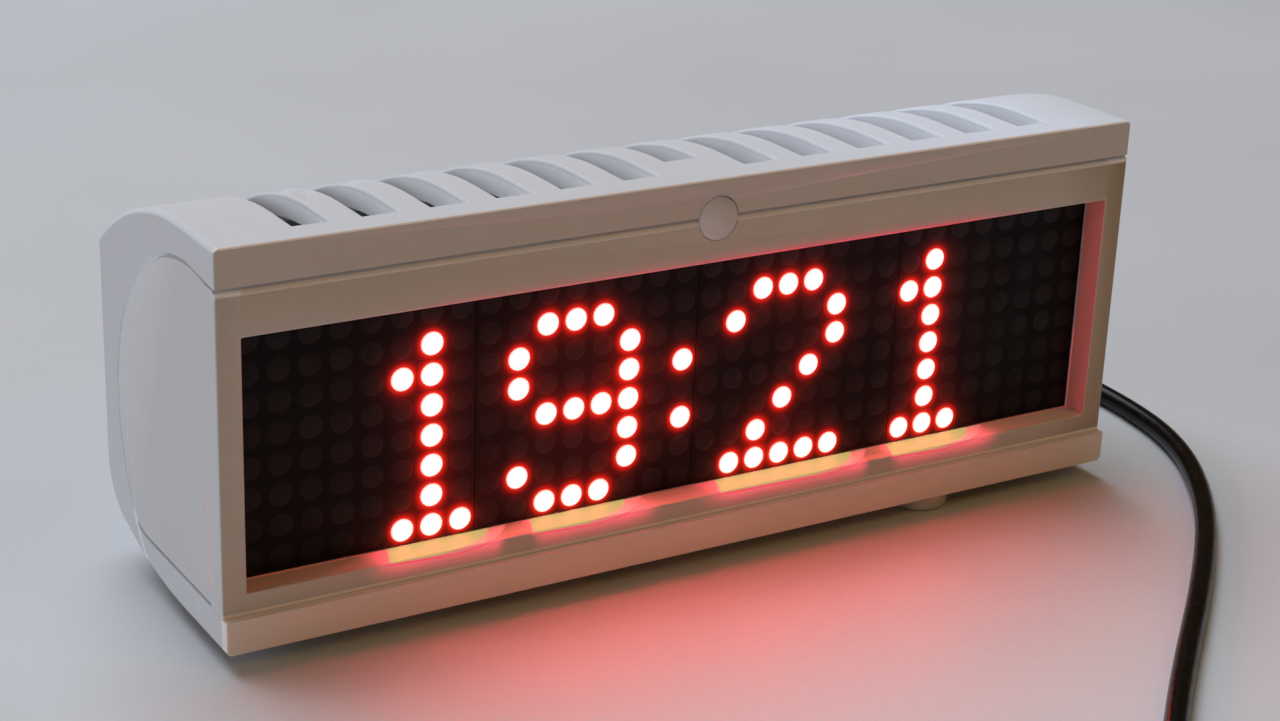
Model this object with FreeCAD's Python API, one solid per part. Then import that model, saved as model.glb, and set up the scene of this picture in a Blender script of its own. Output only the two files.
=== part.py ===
"""LED dot matrix desk clock in a printed two-part case, with its USB lead.

The front unit (face frame, side cheeks and display tray) slides into a vented rear
shell and is held by four screws from the back. Millimetres, +Z up, front toward -Y.
The pieces are drawn about the centre of the display's lit face and moved to the stand
frame when they are saved: floor at z = 0, clock centred on x = 0 and y = 0.
"""

import FreeCAD
import Part

import math
import os

# Display: four square dot matrix modules side by side
dot_pitch = 4.0
dot_diameter = 3.0
dot_rise = 0.25
dot_sides = 6
dots_per_side = 8
module_count = 4
module_gap = 0.1
module_depth = 7.75

# Display board behind the modules, with its sockets and driver chips
socket_depth = 5.0
socket_width = 2.5
socket_length = 20.3
socket_row_offset = 12.7
board_thickness = 1.6
chip_length = 15.4
chip_width = 7.5
chip_height = 2.3
header_width = 2.5
header_length = 12.7
header_depth = 2.5
header_edge_distance = 10.5
chip_slope = 0.35

# Case shell
wall = 3.0
case_depth = 39.0
top_flat_length = 10.7
top_fall_at_back = 10.1
belly_start = 12.7
belly_radius = 62.0
heel_radius = 8.0
edge_chamfer = 0.5
back_edge_round = 0.8
lip_height = 4.9
lip_depth = 4.5
toe_height = 4.45
toe_proud = 1.2
toe_depth = 4.4

# Front frame
frame_depth = 3.7
window_clearance = 0.1
bar_above_window = 6.0
bar_below_window = 2.7
frame_bevel = 0.6
cheek_thickness = 3.2
cheek_radius = 25.5
cheek_corner_radius = 6.0
cheek_chamfer = 0.5
land_above_cheek = 4.0
land_behind_cheek = 5.1
tray_wall = 1.6
tray_depth = 8.5
tab_width = 8.0
tab_hook = 0.8
tab_hook_length = 1.0
board_grip = 0.05

# Fits between the pieces
seam = 0.2
toe_seam = 0.05
slide_gap = 0.1
screw_gap = 0.15

# Small repeated round features are many-sided
peg_sides = 8
head_sides = 12
cap_sides = 16

# Cutting tools reach past the faces that they open, and edges are picked by their place
overcut = 1.0
touch = 0.01

# Cooling slots in the top
vent_count = 13
vent_pitch = 8.9
vent_width = 4.4
vent_front = 4.7
vent_back = 6.3
middle_vent_front = 9.7

# Screws that hold the front unit in the shell
screw_shank = 2.9
screw_head = 5.5
screw_head_height = 2.8
screw_length = 12.0
screw_recess = 4.0
screw_head_play = 0.7
thread_play = 0.1
boss_diameter = 7.6
boss_length = 7.1
lug_width = 8.0
lug_height = 8.0
lug_board_gap = 2.4
lug_rise = 9.5
lug_fall = 6.5

# Small screws of the boards
board_screw_shank = 1.9
board_screw_head = 3.4
board_screw_head_height = 1.2
board_screw_length = 4.6
board_hole_play = 0.3
screw_past_leads = 1.0

# Push button at the middle of the top seam, with its switch
button_diameter = 5.7
button_fit = 0.1
button_drop = 0.25
button_proud = 0.9
button_dome = 0.9
button_dome_steps = 4
button_travel = 0.5
flange_width = 8.4
flange_thickness = 0.85
flange_gap = 0.15
flange_trim = 0.7
stem_diameter = 3.0
stem_length = 0.6
plunger_diameter = 2.2
plunger_length = 2.0
plunger_gap = 0.1
plunger_fit = 0.05
switch_side = 4.2
switch_depth = 3.0
switch_bore_depth = 1.8
button_board_width = 22.0
button_board_height = 5.7
button_board_thickness = 1.2
post_diameter = 4.0
post_spacing = 16.0
post_overhang = 0.4

# Controller board on the back wall
controller_width = 34.2
controller_height = 25.6
controller_thickness = 1.0
controller_x = -5.0
controller_post = 5.0
controller_post_length = 4.0
controller_screw_inset = 2.1
controller_header_inset = 0.35
radio_width = 24.0
radio_height = 16.0
radio_thickness = 0.8
can_width = 15.0
can_height = 12.0
can_depth = 2.4
can_round = 0.8
radio_gap = 1.5
reset_side = 3.6
reset_depth = 2.0
reset_bore_depth = 1.7
reset_button_diameter = 1.6
reset_button_length = 1.9
reset_proud = 0.6
reset_edge_distance = 2.5
reset_above_centre = 3.5

# Power socket board in the back wall
socket_x = 38.0
socket_z = -8.0
power_board_width = 14.0
power_board_depth = 11.0
usb_shell_width = 7.5
usb_shell_height = 2.7
usb_shell_depth = 5.6
usb_shell_setback = 0.3
usb_shell_wall = 0.275
usb_cutout_gap = 0.25
tongue_play = 0.05
rail_width = 4.0

# Wires inside the case, as flat bands of leads
lead_thickness = 1.2
lead_pair_width = 2.4
ribbon_width = 6.4
ribbon_bend_share = 0.39
lead_bend_radius = 3.0
leads_off_board = 0.1
leads_from_socket_side = 5.0
leads_from_controller_side = 4.5
button_leads_drop = 1.3
button_leads_bend_gap = 0.8
button_leads_below_edge = 1.8

# Rubber feet
foot_diameter = 8.4
foot_height = 2.4
foot_chamfer = 0.6
foot_sides = 24
foot_pad_diameter = 9.0
front_foot_spots = ((38.0, 4.5), (-41.0, 7.9))
rear_foot_x = 40.0
rear_foot_from_back = 13.3

# USB lead
cord_diameter = 3.0
cord_sides = 8
relief_sides = 12
plug_gap = 0.2
plug_width = 9.8
plug_height = 6.8
plug_length = 12.0
plug_round = 1.2
tongue_width = 6.85
tongue_height = 1.8
tongue_length = 5.3
relief_length = 10.0
relief_base = 5.0
relief_tip = 3.6
floor_gap = 0.02
straight_out = 14.0
bend_share = 0.45

# The lead's route after its first straight run, on the stand frame, up to the coil
route = (
    (45.5, 71.0, 10.4),
    (60.0, 78.5, 4.6),
    (76.0, 73.0, 1.9),
    (84.5, 57.0, 1.52),
    (86.6, 37.5, 1.52),
    (85.9, 18.5, 1.52),
    (87.2, 0.5, 1.52),
    (84.0, -18.5, 1.52),
    (72.8, -36.5, 1.52),
    (56.5, -53.8, 1.52),
    (29.2, -78.4, 1.52),
    (6.0, -102.0, 1.52),
)

# Spare length wound in a flat coil of two layers, then the host plug
coil_outer_radius = 21.4
coil_pitch = 3.5
coil_layer_rise = 3.45
coil_half_turns_in = 4
coil_half_turns_out = 3
tail_run = 17.0
tail_turn = 14.0
host_plug_width = 16.0
host_plug_height = 8.0
host_plug_length = 21.0
host_shell_width = 12.0
host_shell_height = 4.5
host_shell_length = 18.7
host_shell_wall = 0.4

# Places that follow from the sizes above, measured from the display's face centre
V = FreeCAD.Vector
module_side = dots_per_side * dot_pitch - module_gap
module_face = dot_rise
module_back = module_face + module_depth
board_front = module_back + socket_depth
board_back = board_front + board_thickness
display_half = module_count * dots_per_side * dot_pitch / 2
window_half_width = display_half + window_clearance
window_half_height = dots_per_side * dot_pitch / 2 + window_clearance
half_width = window_half_width + cheek_thickness
cheek_inner = window_half_width
frame_face = -frame_depth
frame_top = window_half_height + bar_above_window
frame_bottom = -window_half_height - bar_below_window
lip_bottom = frame_top + seam
case_top = lip_bottom + lip_height
toe_top = frame_bottom - toe_seam
case_bottom = toe_top - toe_height
case_back = frame_face + case_depth
toe_face = frame_face - toe_proud
inner_half_width = half_width - wall
inner_back = case_back - wall
cheek_y = case_back - land_behind_cheek - seam - cheek_radius
cheek_z = case_top - land_above_cheek - seam - cheek_radius
top_arc_y = frame_face + top_flat_length
belly_y = frame_face + belly_start
back_run = case_back - top_arc_y
top_radius = (back_run ** 2 + top_fall_at_back ** 2) / (2 * top_fall_at_back)
top_centre_z = case_top - top_radius
belly_centre_z = case_bottom + belly_radius
heel_y = case_back - heel_radius
heel_z = belly_centre_z - math.sqrt((belly_radius - heel_radius) ** 2 - (heel_y - belly_y) ** 2)
boss_face = inner_back - boss_length
lug_back = boss_face - seam
screw_x = cheek_inner - lug_width / 2
screw_heights = (cheek_z + lug_rise, cheek_z - lug_fall)
screw_seat = case_back - screw_recess
board_screw_reach = board_screw_length + screw_gap
floor = case_bottom - foot_height
middle_y = (toe_face + case_back) / 2
stand = V(0, -middle_y, -floor)

button_z = frame_top + seam / 2 - button_drop
flange_back = flange_gap + flange_thickness
stem_back = flange_back + stem_length
plunger_front = stem_back + plunger_gap
plunger_back = plunger_front + plunger_length
switch_front = plunger_back + button_travel + plunger_gap - switch_bore_depth
switch_back = switch_front + switch_depth
button_board_back = switch_back + button_board_thickness
button_board_top = button_z + switch_side / 2
button_board_bottom = button_board_top - button_board_height

controller_back = inner_back - controller_post_length
controller_front = controller_back - controller_thickness
controller_left = controller_x - controller_width / 2
controller_right = controller_x + controller_width / 2
header_x = controller_left + header_width / 2 + controller_header_inset
reset_x = controller_right - reset_edge_distance
usb_mouth = case_back - usb_shell_setback
usb_back = usb_mouth - usb_shell_depth
power_board_top = socket_z - usb_shell_height / 2
power_board_bottom = power_board_top - board_thickness
power_board_back = inner_back - slide_gap
power_board_front = power_board_back - power_board_depth
plug_front = case_back + plug_gap
plug_back = plug_front + plug_length
relief_end = plug_back + relief_length


def save(name, shapes):
    """Write one node's solids to its STEP file, moved to the stand frame."""
    solids = shapes if isinstance(shapes, list) else [shapes]
    shape = solids[0] if len(solids) == 1 else Part.makeCompound(solids)
    shape = shape.copy()
    shape.translate(stand)
    shape.exportStep("parts/" + name + ".step")


def block(x0, x1, y0, y1, z0, z1):
    """A rectangular block between two corners."""
    return Part.makeBox(x1 - x0, y1 - y0, z1 - z0, V(x0, y0, z0))


def rod(x, z, y0, y1, diameter):
    """A round bar along Y."""
    return Part.makeCylinder(diameter / 2, y1 - y0, V(x, y0, z), V(0, 1, 0))


def polygon(diameter, sides):
    """A many-sided face across Y about the origin, flat side down, corners on the diameter."""
    corners = []
    for index in range(sides + 1):
        angle = 2 * math.pi * (index + 0.5) / sides - math.pi / 2
        corners.append(V(diameter / 2 * math.cos(angle), 0, diameter / 2 * math.sin(angle)))
    return Part.Face(Part.makePolygon(corners))


def peg(x, z, y0, y1, diameter, sides=peg_sides):
    """A many-sided bar along Y, its corners on the diameter."""
    bar = polygon(diameter, sides).extrude(V(0, y1 - y0, 0))
    bar.translate(V(x, y0, z))
    return bar


def peg_hole(x, z, y0, y1, diameter, sides=peg_sides):
    """The tool for a many-sided hole along Y, its flats on the diameter."""
    return peg(x, z, y0, y1, diameter / math.cos(math.pi / sides), sides)


def pillar(x, y, z0, z1, diameter, sides):
    """A many-sided bar along Z, its corners on the diameter."""
    bar = peg(0, 0, 0, z1 - z0, diameter, sides)
    bar.rotate(V(0, 0, 0), V(1, 0, 0), 90)
    bar.translate(V(x, y, z0))
    return bar


def upright_hole(x, y, z0, z1, diameter):
    """The tool for a many-sided hole along Z, its flats on the diameter."""
    return pillar(x, y, z0, z1, diameter / math.cos(math.pi / peg_sides), peg_sides)


def faceted(rings, sides):
    """A many-sided body about the Y axis through (place, diameter) rings, zero for a tip."""
    loops = []
    for place, diameter in rings:
        if diameter:
            corners = [vertex.Point for vertex in polygon(diameter, sides).OuterWire.OrderedVertexes]
        else:
            corners = [V(0, 0, 0)] * sides
        loops.append([corner + V(0, place, 0) for corner in corners])
    outlines = [loop for loop, (place, diameter) in zip(loops, rings) if diameter]
    outlines = [outlines[0], outlines[-1]] if rings[-1][1] else [outlines[0]]
    for low, high in zip(loops, loops[1:]):
        for index in range(sides):
            after = (index + 1) % sides
            outline = [low[index], low[after], high[after]]
            if high[after] != high[index]:
                outline.append(high[index])
            outlines.append(outline)
    faces = [Part.Face(Part.makePolygon(outline + outline[:1])) for outline in outlines]
    return Part.Solid(Part.Shell(faces))


def line(a, b):
    """A straight edge."""
    return Part.LineSegment(a, b).toShape()


def arc(a, b, c):
    """An arc from a through b to c."""
    return Part.Arc(a, b, c).toShape()


def edges_where(shape, test):
    """The edges of a shape whose bounding box passes a test."""
    return [edge for edge in shape.Edges if test(edge.BoundBox)]


def round_rod(width, height, y0, y1, x, z, radius):
    """A bar along Y with rounded long edges."""
    bar = block(x - width / 2, x + width / 2, y0, y1, z - height / 2, z + height / 2)
    long_edges = edges_where(bar, lambda box: box.YLength > (y1 - y0) / 2)
    return bar.makeFillet(radius, long_edges)


def cap_screw(head_diameter, head_height, shank_diameter, length, sides):
    """A flat cap screw along +Y, the seat of its head at the origin."""
    head = peg(0, 0, -head_height, 0, head_diameter, sides)
    return head.fuse(peg(0, 0, 0, length, shank_diameter)).removeSplitter()


# Case outline


def case_edges(inset, front_top, front_bottom):
    """Side outline of the case from the top front over the back to the bottom front."""
    top_r = top_radius - inset
    belly_r = belly_radius - inset
    heel_r = heel_radius - inset
    back = case_back - inset
    top = V(0, top_arc_y, case_top - inset)
    corner = V(0, back, top_centre_z + math.sqrt(top_r ** 2 - (back - top_arc_y) ** 2))
    half = math.atan2(corner.z - top_centre_z, corner.y - top_arc_y) / 2 + math.pi / 4
    top_middle = V(0, top_arc_y + top_r * math.cos(half), top_centre_z + top_r * math.sin(half))
    lean = math.atan2(heel_y - belly_y, belly_centre_z - heel_z)
    heel_top = V(0, back, heel_z)
    turn = (math.pi / 2 - lean) / 2
    heel_middle = V(0, heel_y + heel_r * math.cos(turn), heel_z - heel_r * math.sin(turn))
    join = V(0, belly_y + belly_r * math.sin(lean), belly_centre_z - belly_r * math.cos(lean))
    belly_middle = V(
        0,
        belly_y + belly_r * math.sin(lean / 2),
        belly_centre_z - belly_r * math.cos(lean / 2),
    )
    belly_front = V(0, belly_y, case_bottom + inset)
    return [
        line(V(0, front_top, top.z), top),
        arc(top, top_middle, corner),
        line(corner, heel_top),
        arc(heel_top, heel_middle, join),
        arc(join, belly_middle, belly_front),
        line(belly_front, V(0, front_bottom, belly_front.z)),
    ]


def close_outline(edges, points, half):
    """Close an outline through points and extrude it across the case."""
    chain = [edges[-1].Vertexes[-1].Point] + points + [edges[0].Vertexes[0].Point]
    closing = [line(a, b) for a, b in zip(chain, chain[1:])]
    wire = Part.Wire(Part.sortEdges(edges + closing)[0])
    face = Part.Face(wire)
    face.translate(V(-half, 0, 0))
    return face.extrude(V(2 * half, 0, 0))


def cheek_edges(gap, front, bottom):
    """Lower edge, rear corner and round rim of a cheek, or of its opening in the shell."""
    radius = cheek_radius + gap
    corner = cheek_corner_radius + gap
    corner_z = bottom + corner
    corner_y = cheek_y + math.sqrt((radius - corner) ** 2 - (corner_z - cheek_z) ** 2)
    start = V(0, corner_y, bottom)
    lean = math.atan2(corner_z - cheek_z, corner_y - cheek_y)
    half = (lean - math.pi / 2) / 2
    middle = V(0, corner_y + corner * math.cos(half), corner_z + corner * math.sin(half))
    join = V(0, cheek_y + radius * math.cos(lean), cheek_z + radius * math.sin(lean))
    return [line(V(0, front, bottom), start), arc(start, middle, join)], lean, radius


def rim_arc(lean, radius, end_angle):
    """The cheek's round rim from its rear corner to an end angle."""
    points = []
    for angle in (lean, (lean + end_angle) / 2, end_angle):
        points.append(V(0, cheek_y + radius * math.cos(angle), cheek_z + radius * math.sin(angle)))
    return arc(*points)


def make_cheek(x):
    """One D-shaped side cheek, inner face at cheek_inner, chamfered around its outer rim."""
    edges, lean, radius = cheek_edges(0.0, frame_face, frame_bottom)
    end = math.pi - math.asin(math.sqrt(radius ** 2 - (cheek_y - frame_face) ** 2) / radius)
    edges.append(rim_arc(lean, radius, end))
    rim_top = edges[-1].Vertexes[-1].Point
    edges.append(line(rim_top, V(0, frame_face, frame_bottom)))
    face = Part.Face(Part.Wire(edges))
    face.translate(V(cheek_inner, 0, 0))
    cheek = face.extrude(V(cheek_thickness, 0, 0))
    rim = edges_where(
        cheek, lambda box: box.XMin > half_width - touch and box.YLength > touch and box.ZMax > cheek_z
    )
    cheek = cheek.makeChamfer(cheek_chamfer, rim)
    return cheek if x > 0 else cheek.mirror(V(0, 0, 0), V(1, 0, 0))


def opening_tool():
    """What the side walls and the front of the shell leave open for the front unit."""
    ahead = toe_face - wall
    edges, lean, radius = cheek_edges(seam, ahead, toe_top)
    edges.append(rim_arc(lean, radius, math.pi / 2))
    apex = edges[-1].Vertexes[-1].Point
    wedge = V(0, frame_face, lip_bottom)
    edges.append(line(apex, wedge))
    edges.append(line(wedge, V(0, ahead, lip_bottom)))
    edges.append(line(V(0, ahead, lip_bottom), V(0, ahead, toe_top)))
    face = Part.Face(Part.Wire(edges))
    face.translate(V(-half_width - wall, 0, 0))
    return face.extrude(V(2 * (half_width + wall), 0, 0))


def make_rear_shell():
    """Rear shell: curved hood with lip, toe, slots, bosses, foot pads and power shelf."""
    front = [V(0, toe_face, toe_top), V(0, frame_face, toe_top)]
    shell = close_outline(case_edges(0.0, frame_face, toe_face), front, half_width)
    back_corner = edges_where(
        shell,
        lambda box: box.XLength > half_width
        and box.YMin > case_back - touch
        and box.ZMin > heel_z + back_edge_round,
    )
    shell = shell.makeFillet(back_edge_round, back_corner)
    sides = edges_where(
        shell,
        lambda box: box.XLength < touch
        and box.XMax ** 2 > (half_width - touch) ** 2
        and (box.YMax > top_arc_y - touch or box.YLength > toe_depth),
    )
    shell = shell.makeChamfer(edge_chamfer, sides)

    lip_back = frame_face + lip_depth
    toe_back = toe_face + toe_depth
    ahead = toe_face - wall
    throat = [
        V(0, toe_back, toe_top),
        V(0, ahead, toe_top),
        V(0, ahead, lip_bottom),
        V(0, lip_back, lip_bottom),
    ]
    cavity = close_outline(case_edges(wall, lip_back, toe_back), throat, inner_half_width)
    shell = shell.cut(cavity)

    shell = shell.cut(side_windows())

    slots = []
    for index in range(vent_count):
        x = (index - (vent_count - 1) / 2) * vent_pitch
        start = middle_vent_front if abs(x) < vent_width else vent_front
        slot = block(
            x - vent_width / 2,
            x + vent_width / 2,
            frame_face + start,
            case_back - vent_back,
            case_top - top_fall_at_back - wall,
            case_top + wall,
        )
        slots.append(slot)
    shell = shell.cut(slots)
    bosses = [
        peg(side * screw_x, z, boss_face, inner_back + wall / 3, boss_diameter, head_sides)
        for side in (-1, 1)
        for z in screw_heights
    ]
    posts = [
        peg(x, z, controller_back, inner_back + wall / 3, controller_post, head_sides)
        for x, z in controller_screw_spots()
    ]
    pads = [
        pillar(side * rear_foot_x, case_back - rear_foot_from_back, case_bottom,
               case_bottom + wall, foot_pad_diameter, head_sides)
        for side in (-1, 1)
    ]
    rails = []
    for x in power_screw_xs():
        rail = block(
            x - rail_width / 2,
            x + rail_width / 2,
            power_board_front,
            inner_back + wall / 3,
            case_bottom + wall / 2,
            power_board_bottom,
        )
        rails.append(rail.common(hood_core()))
    shell = shell.fuse(bosses + posts + pads + rails).removeSplitter()

    holes = []
    for side in (-1, 1):
        for z in screw_heights:
            x = side * screw_x
            holes.append(peg_hole(x, z, boss_face - overcut, case_back + overcut,
                                  screw_shank + 2 * screw_gap))
            holes.append(peg_hole(x, z, screw_seat, case_back + overcut,
                                  screw_head + screw_head_play, head_sides))
    for x, z in controller_screw_spots():
        holes.append(peg_hole(x, z, controller_back - overcut, controller_front + board_screw_reach,
                              board_screw_shank + thread_play))
    for x in power_screw_xs():
        holes.append(upright_hole(x, power_screw_y(), power_board_top - board_screw_reach,
                                  power_board_bottom + overcut, board_screw_shank + thread_play))
    holes.append(round_rod(
        usb_shell_width + 2 * usb_cutout_gap,
        usb_shell_height + 2 * usb_cutout_gap,
        inner_back - overcut,
        case_back + overcut,
        socket_x,
        socket_z,
        usb_cutout_gap * 2,
    ))
    holes.append(rod(0, button_z, frame_face - overcut, frame_face + lip_depth + overcut,
                     button_diameter + 2 * button_fit))
    return shell.cut(holes)


def hood_core():
    """The space inside the shell's outer skin, half a wall deep."""
    return close_outline(case_edges(wall / 2, frame_face, toe_face + toe_depth), [], half_width - wall)


def side_windows():
    """The front opening with the D-shaped openings in both side walls."""
    tool = opening_tool()
    middle = block(seam - cheek_inner, cheek_inner - seam, frame_face - 2 * wall, case_back,
                   toe_top - wall, case_top)
    reach = half_width + overcut
    front = block(-reach, reach, toe_face - overcut, frame_face + frame_depth + seam,
                  toe_top, lip_bottom)
    return [tool.cut(middle), front]


def controller_screw_spots():
    """Two screws of the controller board, at opposite corners beside the header."""
    reach_x = controller_width / 2 - controller_screw_inset
    reach_z = controller_height / 2 - controller_screw_inset
    return [(controller_x - reach_x, reach_z), (controller_x + reach_x, -reach_z)]


def power_screw_xs():
    """The two rails under the power board, one screw in each."""
    reach = power_board_width / 2 - rail_width / 2
    return [socket_x - reach, socket_x + reach]


def power_screw_y():
    """The power board's screws stand near its front edge."""
    return power_board_front + lead_thickness + board_screw_head / 2 + screw_past_leads


def make_front_frame():
    """Front unit: face frame, cheeks, display tray with hooks, screw lugs and switch posts."""
    frame = block(-half_width, half_width, frame_face, 0, frame_bottom, frame_top)
    top_edge = edges_where(
        frame,
        lambda box: box.XLength > half_width and box.ZMin > frame_top - touch and box.YMax < -touch,
    )
    frame = frame.makeChamfer(frame_bevel, top_edge)
    pieces = [make_cheek(-1), make_cheek(1)]
    for side in (-1, 1):
        low = min(side * window_half_height, side * (window_half_height + tray_wall))
        pieces.append(block(-cheek_inner, cheek_inner, 0, tray_depth, low, low + tray_wall))
        for tab in (-1, 1):
            x = tab * dots_per_side * dot_pitch
            hook_back = board_back + board_grip + tab_hook_length
            stalk = block(x - tab_width / 2, x + tab_width / 2, 0, hook_back, low, low + tray_wall)
            inner = min(side * (window_half_height - tab_hook), side * window_half_height)
            hook = block(x - tab_width / 2, x + tab_width / 2, board_back + board_grip,
                         hook_back, inner, inner + tab_hook)
            ledge = block(x - tab_width / 2, x + tab_width / 2,
                          board_front - board_grip - tab_hook_length, board_front - board_grip,
                          inner, inner + tab_hook)
            pieces += [stalk, hook, ledge]
        for z in screw_heights:
            x0 = side * cheek_inner
            x1 = side * (cheek_inner - lug_width)
            pieces.append(block(min(x0, x1), max(x0, x1), board_back + lug_board_gap, lug_back,
                                z - lug_height / 2, z + lug_height / 2))
        pieces.append(peg(side * post_spacing / 2, post_z(), 0, switch_back, post_diameter,
                          head_sides))
    frame = frame.fuse(pieces)
    window = block(-window_half_width, window_half_width, frame_face - overcut, 0,
                   -window_half_height, window_half_height)
    cuts = [window]
    for side in (-1, 1):
        for z in screw_heights:
            cuts.append(peg_hole(side * screw_x, z, screw_seat - screw_length - screw_gap,
                                 lug_back + overcut, screw_shank + thread_play))
        cuts.append(peg_hole(side * post_spacing / 2, post_z(),
                             button_board_back - board_screw_reach, switch_back + overcut,
                             board_screw_shank + thread_play))
    cuts.append(rod(0, button_z, frame_face - overcut, overcut, button_diameter + 2 * button_fit))
    return frame.cut(cuts).removeSplitter()


def post_z():
    """Height of the posts that carry the switch board."""
    return button_board_bottom + post_diameter / 2 - post_overhang


# Display


def module_x(index):
    """Centre of a module along the display."""
    return (index - (module_count - 1) / 2) * dots_per_side * dot_pitch


def make_module(index):
    """One square module, its face just behind the dots."""
    x = module_x(index)
    half = module_side / 2
    return block(x - half, x + half, module_face, module_back, -half, half)


# The shown time dot by dot, lit where marked
shown = (
    "................................",
    "......#...###.....###....#......",
    ".....##..#...#...#...#..##......",
    "......#..#...#.#.....#...#......",
    "......#...####......#....#......",
    "......#......#.#...#.....#......",
    "......#..#...#....#......#......",
    ".....###..###....#####..###.....",
)


def lit_places():
    """Column and row of every lit dot."""
    return {
        (column, row)
        for row, marks in enumerate(shown)
        for column, mark in enumerate(marks)
        if mark == "#"
    }


def make_dot(column, row):
    """One dot: a low many-sided dome on the module's face."""
    x = (column - (module_count * dots_per_side - 1) / 2) * dot_pitch
    z = ((dots_per_side - 1) / 2 - row) * dot_pitch
    dot = faceted([(dot_rise, dot_diameter), (0, 0)], dot_sides)
    dot.translate(V(x, 0, z))
    return dot


def make_dots(want_lit):
    """All lit dots, or all dark ones."""
    lit = lit_places()
    return [
        make_dot(column, row)
        for column in range(module_count * dots_per_side)
        for row in range(dots_per_side)
        if ((column, row) in lit) == want_lit
    ]


def make_sockets():
    """Two socket strips behind each module."""
    strips = []
    for index in range(module_count):
        for side in (-1, 1):
            x = module_x(index)
            z = side * socket_row_offset
            strips.append(block(x - socket_length / 2, x + socket_length / 2,
                                module_back, board_front, z - socket_width / 2, z + socket_width / 2))
    return strips


def make_chips():
    """One driver chip on the board behind each module, with its ends chamfered."""
    chips = []
    for index in range(module_count):
        x = module_x(index)
        chip = block(x - chip_length / 2, x + chip_length / 2, board_front - chip_height,
                     board_front, -chip_width / 2, chip_width / 2)
        front = edges_where(chip, lambda box: box.YMax < board_front - chip_height + touch)
        chips.append(chip.makeChamfer(chip_slope, front))
    return chips


def display_header_x():
    """The header stands near the left end of the display board."""
    return -display_half + header_edge_distance


def make_headers():
    """Pin headers of the display board and of the controller board."""
    half = header_length / 2
    x = display_header_x()
    display = block(x - header_width / 2, x + header_width / 2, board_back,
                    board_back + header_depth, -half, half)
    control = block(header_x - header_width / 2, header_x + header_width / 2,
                    controller_front - header_depth, controller_front, -half, half)
    return [display, control]


# Wires: flat bands of leads, bent in one plane


def band(points, normal, low, width, radius=lead_bend_radius):
    """A flat band of leads along a bent line in the plane across `normal`."""
    path = Part.Wire(bent_line(points, radius))
    edge = path.makeOffset2D(-lead_thickness / 2, 0, False, True)
    face = edge.makeOffset2D(lead_thickness, 0, True, True)
    body = face.extrude(normal * width)
    body.translate(normal * low)
    return body


def bent_line(points, radius):
    """Straight runs joined by tangent arcs of one radius."""
    edges = []
    start = points[0]
    for before, here, after in zip(points, points[1:], points[2:]):
        first, last, middle = corner_arc(before, here, after, radius)
        edges += [line(start, first), arc(first, middle, last)]
        start = last
    edges.append(line(start, points[-1]))
    return edges


def corner_arc(before, here, after, radius):
    """Start, end and middle of the arc of a given radius that rounds a corner."""
    into = (here - before).normalize()
    out = (after - here).normalize()
    half = into.getAngle(out) / 2
    setback = radius * math.tan(half)
    first = here - into * setback
    last = here + out * setback
    chord = (first + last) / 2
    share = math.cos(half) / (1 + math.cos(half))
    return first, last, chord + (here - chord) * share


def make_display_ribbon():
    """Ribbon from the display board's header to the controller's header."""
    start_y = board_back + header_depth
    end_y = controller_front - header_depth
    middle = (start_y + end_y) / 2
    points = [
        V(display_header_x(), start_y, 0),
        V(display_header_x(), middle, 0),
        V(header_x, middle, 0),
        V(header_x, end_y, 0),
    ]
    radius = ribbon_bend_share * (end_y - start_y)
    return band(points, V(0, 0, 1), -ribbon_width / 2, ribbon_width, radius)


def make_power_leads():
    """Two leads from the power board to the controller board."""
    y = power_board_front + lead_thickness / 2 + leads_off_board
    x = controller_right - leads_from_controller_side
    points = [
        V(socket_x - power_board_width / 2 + leads_from_socket_side, y, 0),
        V(x, y, 0),
        V(x, controller_front, 0),
    ]
    return band(points, V(0, 0, 1), power_board_top, lead_pair_width)


def make_button_leads():
    """Two leads from the switch board over the display to the controller board."""
    z = button_z - button_leads_drop
    drop_y = controller_front - lead_bend_radius - button_leads_bend_gap
    end_z = controller_height / 2 - button_leads_below_edge
    points = [
        V(0, button_board_back, z),
        V(0, drop_y, z),
        V(0, drop_y, end_z),
        V(0, controller_front, end_z),
    ]
    return band(points, V(1, 0, 0), -lead_pair_width / 2, lead_pair_width)


# Button


def make_front_button():
    """Domed round cap with a D-shaped flange behind the frame and a short stem."""
    radius = button_diameter / 2
    crown = frame_face - button_proud
    middle = flange_gap + flange_thickness / 2
    dome = (radius ** 2 + button_dome ** 2) / (2 * button_dome)
    rings = [(middle, button_diameter)]
    for step in range(button_dome_steps, 0, -1):
        lean = math.asin(radius / dome) * step / button_dome_steps
        rings.append((crown + dome * (1 - math.cos(lean)), 2 * dome * math.sin(lean)))
    cap = faceted(rings, cap_sides)
    cap.translate(V(0, 0, button_z))
    flange = peg(0, button_z, flange_gap, flange_back, flange_width, cap_sides)
    keep = block(-flange_width, flange_width, 0, flange_back + overcut,
                 button_z - flange_width / 2 + flange_trim, frame_top)
    stem = peg(0, button_z, middle, stem_back, stem_diameter, head_sides)
    return cap.fuse([flange.common(keep), stem])


def make_plunger():
    """The switch's own round plunger."""
    return rod(0, button_z, plunger_front, plunger_back, plunger_diameter)


def make_button_switch():
    """Square switch body with a blind bore for its plunger."""
    half = switch_side / 2
    body = block(-half, half, switch_front, switch_back, button_z - half, button_z + half)
    bore = rod(0, button_z, switch_front - overcut, switch_front + switch_bore_depth,
               plunger_diameter + 2 * plunger_fit)
    return body.cut(bore)


def make_button_board():
    """Small board that carries the switch on two posts of the frame."""
    half = button_board_width / 2
    board = block(-half, half, switch_back, button_board_back, button_board_bottom, button_board_top)
    holes = [
        peg_hole(side * post_spacing / 2, post_z(), switch_back - overcut,
                 button_board_back + overcut, board_screw_shank + board_hole_play)
        for side in (-1, 1)
    ]
    return board.cut(holes)


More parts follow.
